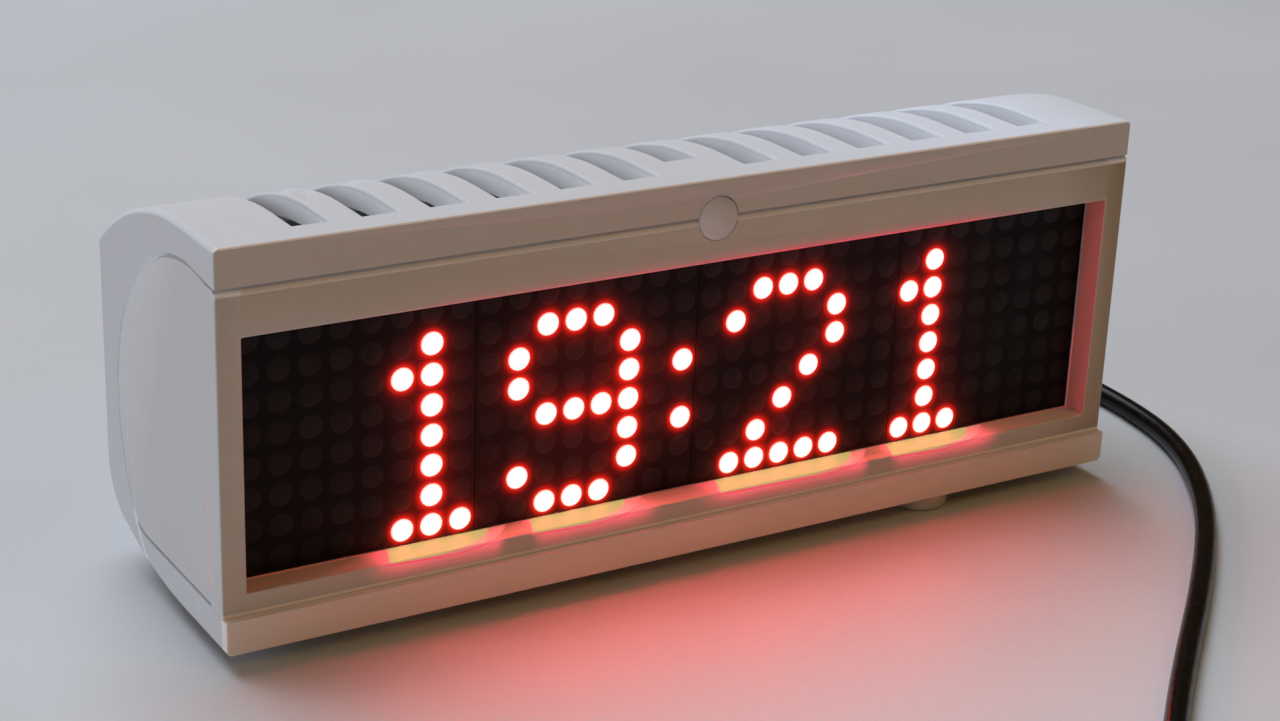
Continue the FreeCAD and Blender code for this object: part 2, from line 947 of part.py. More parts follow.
def placed_screw(x, y, z, forward):
    """A board screw with its seat at a point, driven toward +Y, -Y or -Z."""
    screw = cap_screw(board_screw_head, board_screw_head_height, board_screw_shank,
                      board_screw_length, peg_sides)
    if forward == "front":
        screw.rotate(V(0, 0, 0), V(1, 0, 0), 180)
    if forward == "down":
        screw.rotate(V(0, 0, 0), V(1, 0, 0), -90)
    screw.translate(V(x, y, z))
    return screw


# Controller


def make_controller():
    """Controller board with its two screw holes."""
    board = block(controller_left, controller_right, controller_front, controller_back,
                  -controller_height / 2, controller_height / 2)
    holes = [
        peg_hole(x, z, controller_front - overcut, controller_back + overcut,
                 board_screw_shank + board_hole_play)
        for x, z in controller_screw_spots()
    ]
    return board.cut(holes)


def radio_x():
    """The radio module sits between the header and the reset switch."""
    return header_x + header_width / 2 + radio_gap + radio_width / 2


def make_radio_can():
    """Pressed metal can over the radio, with rounded upright edges."""
    can = block(radio_x() - can_width / 2, radio_x() + can_width / 2,
                controller_front - radio_thickness - can_depth, controller_front - radio_thickness,
                -can_height / 2, can_height / 2)
    upright = edges_where(can, lambda box: box.YLength > can_depth / 2)
    return can.makeFillet(can_round, upright)


def make_reset_switch():
    """Tact switch of the controller board, bored for its button."""
    half = reset_side / 2
    body = block(reset_x - half, reset_x + half, controller_front - reset_depth, controller_front,
                 reset_above_centre - half, reset_above_centre + half)
    front = controller_front - reset_depth
    bore = rod(reset_x, reset_above_centre, front - overcut, front + reset_bore_depth,
               reset_button_diameter + 2 * plunger_fit)
    return body.cut(bore)


def make_reset_button():
    """Button of the controller's reset switch."""
    front = controller_front - reset_depth - reset_proud
    return rod(reset_x, reset_above_centre, front, front + reset_button_length,
               reset_button_diameter)


# Power socket and lead


def make_power_board():
    """Board of the power socket on its two rails."""
    half = power_board_width / 2
    board = block(socket_x - half, socket_x + half, power_board_front, power_board_back,
                  power_board_bottom, power_board_top)
    holes = [
        upright_hole(x, power_screw_y(), power_board_bottom - overcut, power_board_top + overcut,
                     board_screw_shank + board_hole_play)
        for x in power_screw_xs()
    ]
    return board.cut(holes)


def make_power_socket():
    """Folded metal shell of the socket, open toward the back."""
    outer = round_rod(usb_shell_width, usb_shell_height, usb_back, usb_mouth, socket_x, socket_z,
                      2 * usb_shell_wall)
    inner = block(
        socket_x - usb_shell_width / 2 + usb_shell_wall,
        socket_x + usb_shell_width / 2 - usb_shell_wall,
        usb_back + usb_shell_wall,
        usb_mouth + overcut,
        socket_z - tongue_height / 2 - tongue_play,
        socket_z + tongue_height / 2 + tongue_play,
    )
    return outer.cut(inner)


def make_tongue():
    """Metal end of the lead's plug, seated in the socket."""
    return block(socket_x - tongue_width / 2, socket_x + tongue_width / 2,
                 plug_front - tongue_length, plug_front,
                 socket_z - tongue_height / 2, socket_z + tongue_height / 2)


def taper(start_diameter, end_diameter):
    """A tapered strain relief along +Y from the origin."""
    return faceted([(0, start_diameter), (relief_length, end_diameter)], relief_sides)


def make_relief():
    """Strain relief behind the plug."""
    relief = taper(relief_base, relief_tip)
    relief.translate(V(socket_x, plug_back, socket_z))
    return relief


def tube(edges):
    """A many-sided tube swept along a chain of lines and arcs."""
    first = edges[0]
    start = first.valueAt(first.FirstParameter)
    ahead = first.tangentAt(first.FirstParameter)
    section = polygon(cord_diameter, cord_sides).OuterWire
    section.rotate(V(0, 0, 0), V(0, 0, 1), math.degrees(math.atan2(-ahead.x, ahead.y)))
    section.translate(start)
    return Part.Wire(edges).makePipeShell([section], True, False)


def route_points():
    """The lead's corner points about the display, from its strain relief to the coil."""
    out = [V(socket_x, relief_end + step, socket_z) for step in (0, straight_out)]
    return out + [V(*point) - stand for point in route]


def route_edges(points):
    """Straight runs joined by the largest arcs that each pair of runs allows."""
    edges = []
    radii = []
    start = points[0]
    for before, here, after in zip(points, points[1:], points[2:]):
        shorter = min((here - before).Length, (after - here).Length)
        half = (here - before).getAngle(after - here) / 2
        radius = bend_share * shorter / math.tan(half)
        radii.append(radius)
        first, last, middle = corner_arc(before, here, after, radius)
        edges += [line(start, first), arc(first, middle, last)]
        start = last
    edges.append(line(start, points[-1]))
    return edges, radii


def biarc(start, ahead, end, onward):
    """Two arcs that leave `start` along `ahead` and reach `end` along `onward`."""
    span = end - start
    both = ahead + onward
    twist = 2 * (1 - ahead.dot(onward))
    reach = (math.sqrt(span.dot(both) ** 2 + twist * span.dot(span)) - span.dot(both)) / twist
    join = (start + end + (ahead - onward) * reach) / 2
    edges = []
    for a, b, corner in ((start, join, start + ahead * reach), (join, end, end - onward * reach)):
        chord = (a + b) / 2
        cosine = (chord - a).Length / reach
        edges.append(arc(a, chord + (corner - chord) * (cosine / (1 + cosine)), b))
    return edges


def coil_edges(start, ahead):
    """A flat coil: half turns spiralling in on the floor layer, up, and out on the next."""
    side = V(-ahead.y, ahead.x, 0)
    point = start + ahead * cord_diameter
    edges = [line(start, point)]
    heading = 1
    steps = list(range(coil_half_turns_in)) + [None] + list(range(coil_half_turns_out))[::-1]
    shift = coil_half_turns_in - coil_half_turns_out
    for order, step in enumerate(steps):
        if step is None:
            radius = coil_outer_radius - coil_half_turns_in * coil_pitch / 2
            end = point + side * (2 * radius * heading) + V(0, 0, coil_layer_rise)
            edges += biarc(point, ahead * heading, end, ahead * -heading)
        else:
            if order > coil_half_turns_in:
                step += shift
            radius = coil_outer_radius - step * coil_pitch / 2
            end = point + side * (2 * radius * heading)
            top = point + side * (radius * heading) + ahead * (radius * heading)
            edges.append(arc(point, top, end))
        point = end
        heading = -heading
    finish = point + ahead * (heading * cord_diameter)
    edges.append(line(point, finish))
    return edges, finish, ahead * heading


def least_gap(edges, apart):
    """The least clear distance between parts of a tube's path further apart than `apart`."""
    step = cord_diameter / 4
    points = []
    travelled = 0.0
    for edge in edges:
        count = max(int(edge.Length / step), 2)
        for point in edge.discretize(Number=count)[:-1]:
            points.append((travelled, point))
            travelled += edge.Length / (count - 1)
    gap = 1e9
    for index, (place, point) in enumerate(points):
        for other_place, other in points[index + 1:]:
            if other_place - place > apart:
                gap = min(gap, (other - point).Length)
    return gap - cord_diameter


def tail_points(end, onward):
    """The lead's last stretch: off the coil, gently aside and down to the plug's height."""
    side = V(onward.y, -onward.x, 0)
    turn = math.radians(tail_turn)
    aside = onward * math.cos(turn) + side * math.sin(turn)
    further = onward * math.cos(2 * turn) + side * math.sin(2 * turn)
    fall = end.z - floor - floor_gap - host_plug_height / 2
    first = end + onward * tail_run
    second = first + aside * tail_run - V(0, 0, fall)
    return [end, first, second, second + further * tail_run], further


def make_host_plug(end, onward):
    """Host end of the lead: relief, moulded grip and hollow metal shell, flat on the floor."""
    relief = taper(relief_tip, relief_base)
    grip = round_rod(host_plug_width, host_plug_height, relief_length,
                     relief_length + host_plug_length, 0, 0, plug_round)
    shell_start = relief_length + host_plug_length
    shell = block(-host_shell_width / 2, host_shell_width / 2, shell_start,
                  shell_start + host_shell_length, -host_shell_height / 2, host_shell_height / 2)
    hollow = block(-host_shell_width / 2 + host_shell_wall, host_shell_width / 2 - host_shell_wall,
                   shell_start + host_shell_wall, shell_start + host_shell_length + overcut,
                   0, host_shell_height / 2 - host_shell_wall)
    grip = relief.fuse(grip).removeSplitter()
    shell = shell.cut(hollow)
    turn = math.degrees(math.atan2(-onward.x, onward.y))
    for piece in (grip, shell):
        piece.rotate(V(0, 0, 0), V(0, 0, 1), turn)
        piece.translate(end)
    return grip, shell


def make_foot(x, y):
    """Round rubber foot with a softened lower rim."""
    foot = pillar(x, y, floor, floor + foot_height, foot_diameter, foot_sides)
    rim = edges_where(foot, lambda box: box.ZMax < floor + touch)
    return foot.makeChamfer(foot_chamfer, rim)


os.makedirs("parts", exist_ok=True)

save("front_frame", make_front_frame())
save("rear_shell", make_rear_shell())
for number in range(module_count):
    save("matrix_module_" + str(number + 1), make_module(number))
save("lit_dots", make_dots(True))
save("dim_dots", make_dots(False))
save("module_sockets", make_sockets())
save("display_board", block(-display_half, display_half, board_front, board_back,
                            -module_side / 2, module_side / 2))
save("driver_chips", make_chips())
save("pin_headers", make_headers())
save("display_ribbon", make_display_ribbon())

save("front_button", make_front_button())
save("button_plunger", make_plunger())
save("button_switch", make_button_switch())
save("button_board", make_button_board())
save("button_board_screws", [
    placed_screw(side * post_spacing / 2, button_board_back, post_z(), "front") for side in (-1, 1)
])
save("button_leads", make_button_leads())

save("controller_board", make_controller())
save("controller_screws", [
    placed_screw(x, controller_front, z, "back") for x, z in controller_screw_spots()
])
save("radio_module", block(radio_x() - radio_width / 2, radio_x() + radio_width / 2,
                           controller_front - radio_thickness, controller_front,
                           -radio_height / 2, radio_height / 2))
save("radio_can", make_radio_can())
save("reset_switch", make_reset_switch())
save("reset_button", make_reset_button())

save("power_board", make_power_board())
save("power_board_screws", [
    placed_screw(x, power_screw_y(), power_board_top, "down") for x in power_screw_xs()
])
save("power_socket", make_power_socket())
save("power_leads", make_power_leads())

shell_screw = cap_screw(screw_head, screw_head_height, screw_shank, screw_length, head_sides)
shell_screw.rotate(V(0, 0, 0), V(1, 0, 0), 180)
shell_screws = []
for side in (-1, 1):
    for z in screw_heights:
        screw = shell_screw.copy()
        screw.translate(V(side * screw_x, screw_seat, z))
        shell_screws.append(screw)
save("shell_screws", shell_screws)

for name, (x, from_face) in zip(("foot_front_right", "foot_front_left"), front_foot_spots):
    save(name, make_foot(x, toe_face + from_face))
save("foot_rear_right", make_foot(rear_foot_x, case_back - rear_foot_from_back))
save("foot_rear_left", make_foot(-rear_foot_x, case_back - rear_foot_from_back))

save("micro_plug_shell", make_tongue())
save("micro_plug", round_rod(plug_width, plug_height, plug_front, plug_back, socket_x, socket_z,
                             plug_round))
save("cord_relief", make_relief())
corners = route_points()
cord_path, bend_radii = route_edges(corners)
cord = tube(cord_path)
save("cord", cord)
heading = (corners[-1] - corners[-2]).normalize()
coil_path, coil_end, coil_heading = coil_edges(corners[-1], heading)
coil = tube(coil_path)
save("cord_coil", coil)
tail_corners, plug_heading = tail_points(coil_end, coil_heading)
tail_path, tail_radii = route_edges(tail_corners)
save("cord_tail", tube(tail_path))
host_plug, host_plug_shell = make_host_plug(tail_corners[-1], plug_heading)
save("host_plug", host_plug)
save("host_plug_shell", host_plug_shell)

section = polygon(cord_diameter, cord_sides).Area
cord_length = sum(edge.Length for edge in cord_path)
coil_length = sum(edge.Length for edge in coil_path)
print("bend radii", [round(radius, 1) for radius in bend_radii + tail_radii])
print("runs", [round((b - a).Length, 1) for a, b in zip(corners, corners[1:])])
print("turns", [
    round(math.degrees((b - a).getAngle(c - b)), 1) for a, b, c in zip(corners, corners[1:], corners[2:])
])
print("cord length", round(cord_length, 1), "volume share", round(cord.Volume / section / cord_length, 4))
print("coil length", round(coil_length, 1), "volume share", round(coil.Volume / section / coil_length, 4))
print("tail length", round(sum(edge.Length for edge in tail_path), 1))
print("coil gap to itself", round(least_gap(coil_path, 3 * cord_diameter), 2))
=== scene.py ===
import math

import bmesh
import bpy
import numpy as np
from bpy.props import FloatProperty, FloatVectorProperty, IntProperty, PointerProperty
from mathutils import Matrix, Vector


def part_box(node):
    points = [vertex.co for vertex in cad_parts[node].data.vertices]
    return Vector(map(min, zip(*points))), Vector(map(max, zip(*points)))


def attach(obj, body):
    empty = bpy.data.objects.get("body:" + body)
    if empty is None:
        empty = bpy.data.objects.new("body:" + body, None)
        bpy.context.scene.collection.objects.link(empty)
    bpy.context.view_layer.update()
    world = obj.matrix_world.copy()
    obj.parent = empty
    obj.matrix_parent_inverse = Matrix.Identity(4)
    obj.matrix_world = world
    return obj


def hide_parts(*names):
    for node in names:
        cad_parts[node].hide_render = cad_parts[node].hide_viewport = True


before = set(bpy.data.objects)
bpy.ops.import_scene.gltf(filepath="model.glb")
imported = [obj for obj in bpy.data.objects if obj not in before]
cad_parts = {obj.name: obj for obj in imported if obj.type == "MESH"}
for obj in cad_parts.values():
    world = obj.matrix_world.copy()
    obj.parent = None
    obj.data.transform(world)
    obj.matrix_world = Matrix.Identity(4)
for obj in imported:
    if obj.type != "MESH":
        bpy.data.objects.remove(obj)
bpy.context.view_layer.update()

bl_info = {
    "name": "Dot Matrix Desk Clock",
    "version": (1, 0, 0),
    "blender": (4, 5, 0),
    "location": "View3D > Sidebar > Desk Clock",
    "description": "Dresses the packed solids of an LED dot matrix desk clock with its printed case, "
    "glowing display, lead and studio",
    "category": "Add Mesh",
}

MM = 0.001
FULL_TURN = 2 * math.pi
BLACK = (0, 0, 0)

# The shown time dot by dot, lit where marked
SHOWN = (
    "................................",
    "......#...###.....###....#......",
    ".....##..#...#...#...#..##......",
    "......#..#...#.#.....#...#......",
    "......#...####......#....#......",
    "......#......#.#...#.....#......",
    "......#..#...#....#......#......",
    ".....###..###....#####..###.....",
)
DOTS_WIDE = 32

# Centre and radius of the round cheeks, and half the display's width, where they begin
CHEEK_Y = -10.7 * MM
CHEEK_Z = 23.2 * MM
CHEEK_RADIUS = 25.5 * MM
DISPLAY_SIDE = 64 * MM

# Distance from slot to slot in the top, half a slot's width, and where their row ends
SLOT_PITCH = 8.9 * MM
SLOT_HALF = 2.24 * MM
SLOTS_END = 56 * MM

BUTTON_RADIUS = 2.85 * MM

# Radius at which a turned body ends on its axis
TIP = 0.001 * MM

# Shares of the softening: at plain edges, and at the lower screw holes, which touch the
# line where the back turns into the heel
PLAIN_EDGE = 0.35
SCREW_HOLE_EDGE = 0.005


# Sizes and colours that a user may change


def colour_field(name, about, *rgb):
    return FloatVectorProperty(name=name, description=about, subtype="COLOR", size=3,
                               min=0, max=1, default=rgb)


def length_field(name, about, size, low, high):
    """A length whose default and limits are given in millimetres."""
    return FloatProperty(name=name, description=about, subtype="DISTANCE", unit="LENGTH",
                         min=low * MM, max=high * MM, precision=5, default=size * MM)


def power_field(name, about, watts):
    return FloatProperty(name=name, description=about, subtype="POWER", unit="POWER",
                         min=0, max=500, default=watts)


class ClockCase(bpy.types.PropertyGroup):
    """Printed plastic of the case."""

    shell_colour: colour_field("Shell", "Plastic of the hood and back", 0.70, 0.705, 0.715)
    front_colour: colour_field("Front", "Plastic of the face bar and cheeks", 0.69, 0.685, 0.68)
    button_colour: colour_field("Button", "Plastic of the round button", 0.76, 0.735, 0.735)
    edge_round: length_field(
        "Edge round", "Softening of the slots' edges, a third of it elsewhere", 0.62, 0, 1)
    layer_height: length_field("Layer", "Thickness of one printed layer", 0.2, 0.05, 1)


class ClockDisplay(bpy.types.PropertyGroup):
    """Dots and face of the matrix modules."""

    lit_colour: colour_field("Light", "Colour of the light that a lit dot throws", 1.0, 0.1, 0.085)
    lit_strength: FloatProperty(
        name="Strength", description="Strength of that light", min=0, max=100, default=30.0)
    dot_radius: length_field("Dot radius", "Radius of one dot", 1.5, 0.5, 4)
    # Halo and spill set the painted glow on the face round the lit dots.
    halo: length_field("Halo", "Width of the bright rim round a lit dot", 0.5, 0.1, 5)
    spill: length_field("Spill", "Reach of the faint red light over the face", 2.6, 0.1, 20)
    face_steps: IntProperty(
        name="Face steps", description="Grid steps along one side of a module's face",
        min=16, max=200, default=96)


class ClockLead(bpy.types.PropertyGroup):
    """The lead with its plugs."""

    diameter: length_field("Diameter", "Thickness of the lead", 3.0, 1, 10)
    outer_radius: length_field(
        "Coil radius", "Radius of the coil's outermost half turn", 21.4, 10, 100)
    pitch: length_field("Turn pitch", "Distance between neighbouring turns", 3.5, 1, 20)
    rise: length_field("Layer rise", "Height of the upper layer over the lower one", 3.45, 1, 20)
    sheath_colour: colour_field("Sheath", "Colour of the lead and its plugs", 0.003, 0.003, 0.0035)


class ClockStudio(bpy.types.PropertyGroup):
    """Floor, light and camera."""

    floor_colour: colour_field("Floor", "Colour of the floor", 0.63, 0.645, 0.655)
    window_power: power_field(
        "Window light", "Power of the large cool lamp behind and above", 41.0)
    side_power: power_field("Side light", "Power of the low cool lamp on the left", 13.0)
    room_power: power_field("Room light", "Power of the weak warm lamp in front", 3.6)
    lens: FloatProperty(
        name="Lens", description="Focal length", subtype="DISTANCE_CAMERA",
        unit="CAMERA", min=10, max=300, default=69.975)


GROUPS = {
    "clock_case": ClockCase,
    "clock_display": ClockDisplay,
    "clock_lead": ClockLead,
    "clock_studio": ClockStudio,
}


# Meshes from arrays


def corners_of(node):
    """Lowest and highest corner of one solid, as arrays."""
    return [np.array(corner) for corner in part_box(node)]


def angles(count):
    """Evenly spaced angles of one full turn."""
    return np.arange(count) * 2 * math.pi / count


def placed(name, data):
    """A new object at the origin."""
    piece = bpy.data.objects.new(name, data)
    bpy.context.scene.collection.objects.link(piece)
    return piece


def sheet_faces(rows, columns, around=False):
    """Quads of a grid of rows by columns; `around` joins the last column to the first."""
    row = np.arange(rows - 1)[:, None]
    column = np.arange(columns if around else columns - 1)[None, :]
    beside = (column + 1) % columns
    return np.stack(
        [row * columns + column, row * columns + beside,
         (row + 1) * columns + beside, (row + 1) * columns + column], axis=-1
    ).reshape(-1, 4)


def fill_mesh(name, points, quads, triangles=(), values=None):
    """A smooth mesh object from arrays, with optional values on its points."""
    quads = np.asarray(quads, dtype=np.int32).reshape(-1, 4)
    triangles = np.asarray(triangles, dtype=np.int32).reshape(-1, 3)
    mesh = bpy.data.meshes.new(name)
    mesh.vertices.add(len(points))
    mesh.vertices.foreach_set("co", np.asarray(points, dtype=np.float32).ravel())
    mesh.loops.add(quads.size + triangles.size)
    mesh.loops.foreach_set("vertex_index", np.concatenate([quads.ravel(), triangles.ravel()]))
    mesh.polygons.add(len(quads) + len(triangles))
    starts = np.concatenate([
        4 * np.arange(len(quads)), quads.size + 3 * np.arange(len(triangles))])
    mesh.polygons.foreach_set("loop_start", starts.astype(np.int32))
    mesh.update(calc_edges=True)
    mesh.shade_smooth()
    for label, array in (values or {}).items():
        layer = mesh.attributes.new(label, "FLOAT", "POINT")
        layer.data.foreach_set("value", np.asarray(array, dtype=np.float32).ravel())
    mesh.validate()
    return placed(name, mesh)


def face_toward(piece, direction):
    """Flips a sheet whose faces look away from the direction."""
    if np.dot(piece.data.polygons[-1].normal, direction) < 0:
        piece.data.flip_normals()
    return piece


def loft(name, rings, sharp):
    """A closed body through a stack of rings, each end closed with a fan.

    `rings` is an array of stations by angle by xyz. Point (i, j) lies on station i at
    angle j, and both ends meet their station's mean point. Edges bent by more than
    `sharp` degrees stay crisp.
    """
    stations, around, _ = rings.shape
    points = np.concatenate([rings.reshape(-1, 3), [rings[0].mean(axis=0), rings[-1].mean(axis=0)]])
    turn = np.arange(around)
    beside = (turn + 1) % around
    base = (stations - 1) * around
    caps = np.concatenate([
        np.stack([beside, turn, np.full(around, stations * around)], axis=-1),
        np.stack([base + turn, base + beside, np.full(around, stations * around + 1)], axis=-1)])
    piece = fill_mesh(name, points, sheet_faces(stations, around, True), caps)
    work = bmesh.new()
    work.from_mesh(piece.data)
    bmesh.ops.recalc_face_normals(work, faces=work.faces)
    work.to_mesh(piece.data)
    work.free()
    piece.data.set_sharp_from_angle(angle=math.radians(sharp))
    return piece


def turned(name, profile, origin, axis, around, section=None, sharp=40.0):
    """A body turned about an axis: each profile point (distance, radius) swept by the angle.

    Point (i, t) is origin + axis * distance_i + radius_i * section(i, t) * the direction of
    angle t, where `section` bends the circle into another outline.
    """
    profile = np.asarray(profile, dtype=float)
    axis = np.asarray(axis, dtype=float)
    side = np.cross(axis, [0.0, 0.0, 1.0] if axis[2] < 0.9 else [0.0, 1.0, 0.0])
    angle = angles(around)
    spokes = np.cos(angle)[:, None] * side + np.sin(angle)[:, None] * np.cross(side, axis)
    reach = profile[:, 1][:, None] * np.ones(around)
    if section is not None:
        reach = section(reach, angle)
    rings = np.asarray(origin) + profile[:, 0][:, None, None] * axis + reach[:, :, None] * spokes
    return loft(name, rings, sharp)


def squircle(angle, half_width, half_height, power):
    """Outline between an ellipse and a rectangle: |x/w|^n + |z/h|^n = 1."""
    c, s = np.cos(angle), np.sin(angle)
    reach = (np.abs(c) ** power + np.abs(s) ** power) ** (-1 / power)
    return half_width * reach * c, half_height * reach * s


def merged_copy(node, name, width, weigh):
    """The node's own surface merged into one mesh, flat areas joined, edges softened.

    `weigh` gives the share of the width for an edge, from its middle and from how far up
    the faces beside it look; 0 keeps the corner.
    """
    bend = math.radians(30.0)
    mesh = bpy.data.meshes.new(name)
    work = bmesh.new()
    work.from_mesh(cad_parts[node].data)
    bmesh.ops.remove_doubles(work, verts=work.verts, dist=1e-6)
    bmesh.ops.dissolve_limit(
        work, angle_limit=math.radians(0.8), verts=work.verts, edges=work.edges)
    weight = work.edges.layers.float.new("bevel_weight_edge")
    for edge in work.edges:
        if len(edge.link_faces) == 2 and edge.calc_face_angle() > bend:
            middle = (edge.verts[0].co + edge.verts[1].co) / 2
            edge[weight] = weigh(middle, max(face.normal.z for face in edge.link_faces))
    work.to_mesh(mesh)
    work.free()
    mesh.shade_smooth()
    mesh.set_sharp_from_angle(angle=bend)
    piece = placed(name, mesh)
    bevel = piece.modifiers.new("Soft edges", "BEVEL")
    bevel.width = width
    bevel.segments = 2
    bevel.limit_method = "WEIGHT"
    bevel.use_clamp_overlap = False
    bevel.harden_normals = True
    return piece


def coat(piece, material):
    """Gives a piece one material."""
    piece.data.materials.clear()
    piece.data.materials.append(material)


def settle(piece, material, slot, *nodes, body="case"):
    """Coats the piece, sets it on its body and hides the solids it stands for; the slot is not used.
    """
    coat(piece, material)
    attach(piece, body)
    if nodes:
        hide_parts(*nodes)
    return piece


def aim(thing, place, right, up):
    """Puts a lamp or the camera at a place, turned so that it has these sides."""
    turn = np.eye(4)
    turn[:3] = np.column_stack([right, up, np.cross(right, up), place])
    thing.matrix_world = Matrix(turn.tolist())


# Shader parts


def feed(node, inputs=(), **named):
    """Links or sets a node's inputs; an underscore in a name stands for a space."""
    spaced = {label.replace("_", " "): value for label, value in named.items()}
    for label, value in {**dict(inputs), **spaced}.items():
        if isinstance(value, Amount):
            node.id_data.links.new(value.socket, node.inputs[label])
        else:
            node.inputs[label].default_value = value


def add(tree, kind, inputs=(), output=0, **settings):
    """What one new shader node puts out."""
    node = tree.nodes.new("ShaderNode" + kind)
    for label, value in settings.items():
        setattr(node, label, value)
    feed(node, inputs)
    return Amount(node.outputs[output])


def arithmetic(operation, swapped=False):
    """A method that adds one Math node."""
    def step(self, other=0.0):
        first, second = (other, self) if swapped else (self, other)
        return add(self.tree, "Math", {0: first, 1: second}, operation=operation)
    return step


class Amount:
    """A number, colour or place that a shader node puts out; sums with it add more nodes."""

    __array_ufunc__ = None
    __add__ = arithmetic("ADD")
    __sub__ = arithmetic("SUBTRACT")
    __rsub__ = arithmetic("SUBTRACT", swapped=True)
    __mul__ = arithmetic("MULTIPLY")
    __truediv__ = arithmetic("DIVIDE")
    __rtruediv__ = arithmetic("DIVIDE", swapped=True)
    __mod__ = arithmetic("FLOORED_MODULO")
    __lt__ = arithmetic("LESS_THAN")
    __gt__ = arithmetic("GREATER_THAN")
    __abs__ = arithmetic("ABSOLUTE")
    maximum = arithmetic("MAXIMUM")
    root = arithmetic("SQRT")
    exponent = arithmetic("EXPONENT")
    sine = arithmetic("SINE")
    cosine = arithmetic("COSINE")

    def __init__(self, socket):
        self.socket = socket
        self.tree = socket.id_data

    def other(self, label):
        """Another output of the same node."""
        return Amount(self.socket.node.outputs[label])

    def between(self, low, high):
        """1 between two values, 0 elsewhere."""
        return (self > low) * (self < high)

    def remap(self, low, high, to_low=0.0, to_high=1.0, smooth=False):
        """A range spread to another one and clamped."""
        return add(self.tree, "MapRange",
                   {"Value": self, "From Min": low, "From Max": high,
                    "To Min": to_low, "To Max": to_high},
                   interpolation_type="SMOOTHSTEP" if smooth else "LINEAR")

    def fade(self, low, high, smooth=False):
        """1 up to the lower value, 0 from the higher one on."""
        return self.remap(low, high, 1.0, 0.0, smooth)

    def blend(self, first, second):
        """Mix of two colours by this mask."""
        first, second = [value if isinstance(value, Amount) else (*value, 1.0)
                         for value in (first, second)]
        return add(self.tree, "Mix", {0: self, 6: first, 7: second}, 2, data_type="RGBA")

    def ramp(self, stops, mode="LINEAR"):
        """A curve through stops, each a place with a level or a colour."""
        curve = add(self.tree, "ValToRGB", {"Fac": self})
        ramp = curve.socket.node.color_ramp
        ramp.interpolation = mode
        while len(ramp.elements) < len(stops):
            ramp.elements.new(1.0)
        for step, (spot, level) in zip(ramp.elements, stops):
            step.position = spot
            step.color = (*np.broadcast_to(level, 3), 1)
        return curve


def axes(place):
    """X, Y and Z of a place."""
    x = add(place.tree, "SeparateXYZ", {0: place})
    return x, x.other("Y"), x.other("Z")


def noise(place, scale, detail=2.0, roughness=0.5):
    """Cloudy noise, about 0.5 on average."""
    return add(place.tree, "TexNoise", {
        "Vector": place, "Scale": scale, "Detail": detail, "Roughness": roughness})


def in_units(place, size):
    """The place divided by a size."""
    return add(place.tree, "VectorMath", {0: place, "Scale": 1.0 / size}, operation="SCALE")


def new_group(name, outputs, **inputs):
    """A node group with a place and named numbers going in, and masks coming out."""
    group = bpy.data.node_groups.new(name, "ShaderNodeTree")
    new = group.interface.new_socket
    new(name="Vector", in_out="INPUT", socket_type="NodeSocketVector")
    for label, default in inputs.items():
        new(name=label, in_out="INPUT", socket_type="NodeSocketFloat").default_value = default
    for label in outputs:
        new(name=label, in_out="OUTPUT", socket_type="NodeSocketFloat")
    given = group.nodes.new("NodeGroupInput").outputs
    return group.nodes.new("NodeGroupOutput"), *[Amount(given[n]) for n in range(len(inputs) + 1)]


def printed_layers():
    """Fine ridges of printed layers stacked along Y, broken up along their length."""
    out, place, layer = new_group("Printed layers", ("Height", "Streak"), Layer=0.2 * MM)
    x, y, z = axes(place)
    count = y / layer
    patches = noise(add(place.tree, "CombineXYZ", {
        "X": x * 260.0, "Y": count * 0.7, "Z": z * 260.0}), 0.9, 2.0, 0.6)
    ridge = (count * FULL_TURN).sine()
    feed(out, Height=ridge * 0.22 + patches.remap(0.25, 0.75),
         Streak=patches.remap(0.32, 0.62, smooth=True))
    return out.id_data


def cloudy_tone():
    """Slow patches of tone for any surface."""
    out, place, size = new_group("Cloudy tone", ["Mask"], Size=20 * MM)
    cloud = noise(in_units(place, size), 1.0, 4.0, 0.55)
    feed(out, Mask=cloud.remap(0.3, 0.7, smooth=True))
    return out.id_data


def dark_specks():
    """A few small specks: the middles of a coarse pattern's cells whose random value is low."""
    out, place, spacing, share = new_group("Dark specks", ["Mask"], Spacing=6 * MM, Share=0.06)
    near = add(place.tree, "TexVoronoi", {"Vector": in_units(place, spacing), "Scale": 1.0})
    pick = add(place.tree, "SeparateColor", {0: near.other("Color")})
    feed(out, Mask=near.fade(0.03, 0.07, smooth=True) * (pick < share))
    return out.id_data


def board_lines():
    """Copper lines under a board's lacquer: a brick pattern's joints and round pads."""
    out, place, pitch = new_group("Board lines", ("Line", "Pad"), Pitch=1.27 * MM)
    place = in_units(place, pitch)
    flat = add(place.tree, "Mapping", {"Vector": place, "Rotation": (math.pi / 2, 0, 0)})
    joints = add(place.tree, "TexBrick", {
        "Vector": flat, "Scale": 1.0, "Mortar Size": 0.12, "Brick Width": 7.0,
        "Row Height": 1.0}, "Fac")
    pads = add(place.tree, "TexVoronoi", {"Vector": place, "Scale": 0.45})
    feed(out, Line=joints, Pad=pads.fade(0.12, 0.16))
    return out.id_data


EFFECTS = {}


def effect(maker, place, **inputs):
    """A node group in a material, made when it is first asked for; gives its first output."""
    if maker not in EFFECTS:
        EFFECTS[maker] = maker()
    return add(place.tree, "Group", {"Vector": place, **inputs}, node_tree=EFFECTS[maker])


def new_finish(name, **sockets):
    """A material with its shader, plain shader settings and the place on the piece."""
    material = bpy.data.materials.new(name)
    material.use_nodes = True
    shader = material.node_tree.nodes["Principled BSDF"]
    feed(shader, **sockets)
    return material, shader, add(material.node_tree, "TexCoord", output="Object")


def attribute(place, name):
    """A value that is kept on the mesh's points."""
    return add(place.tree, "Attribute", (), "Fac", attribute_name=name)


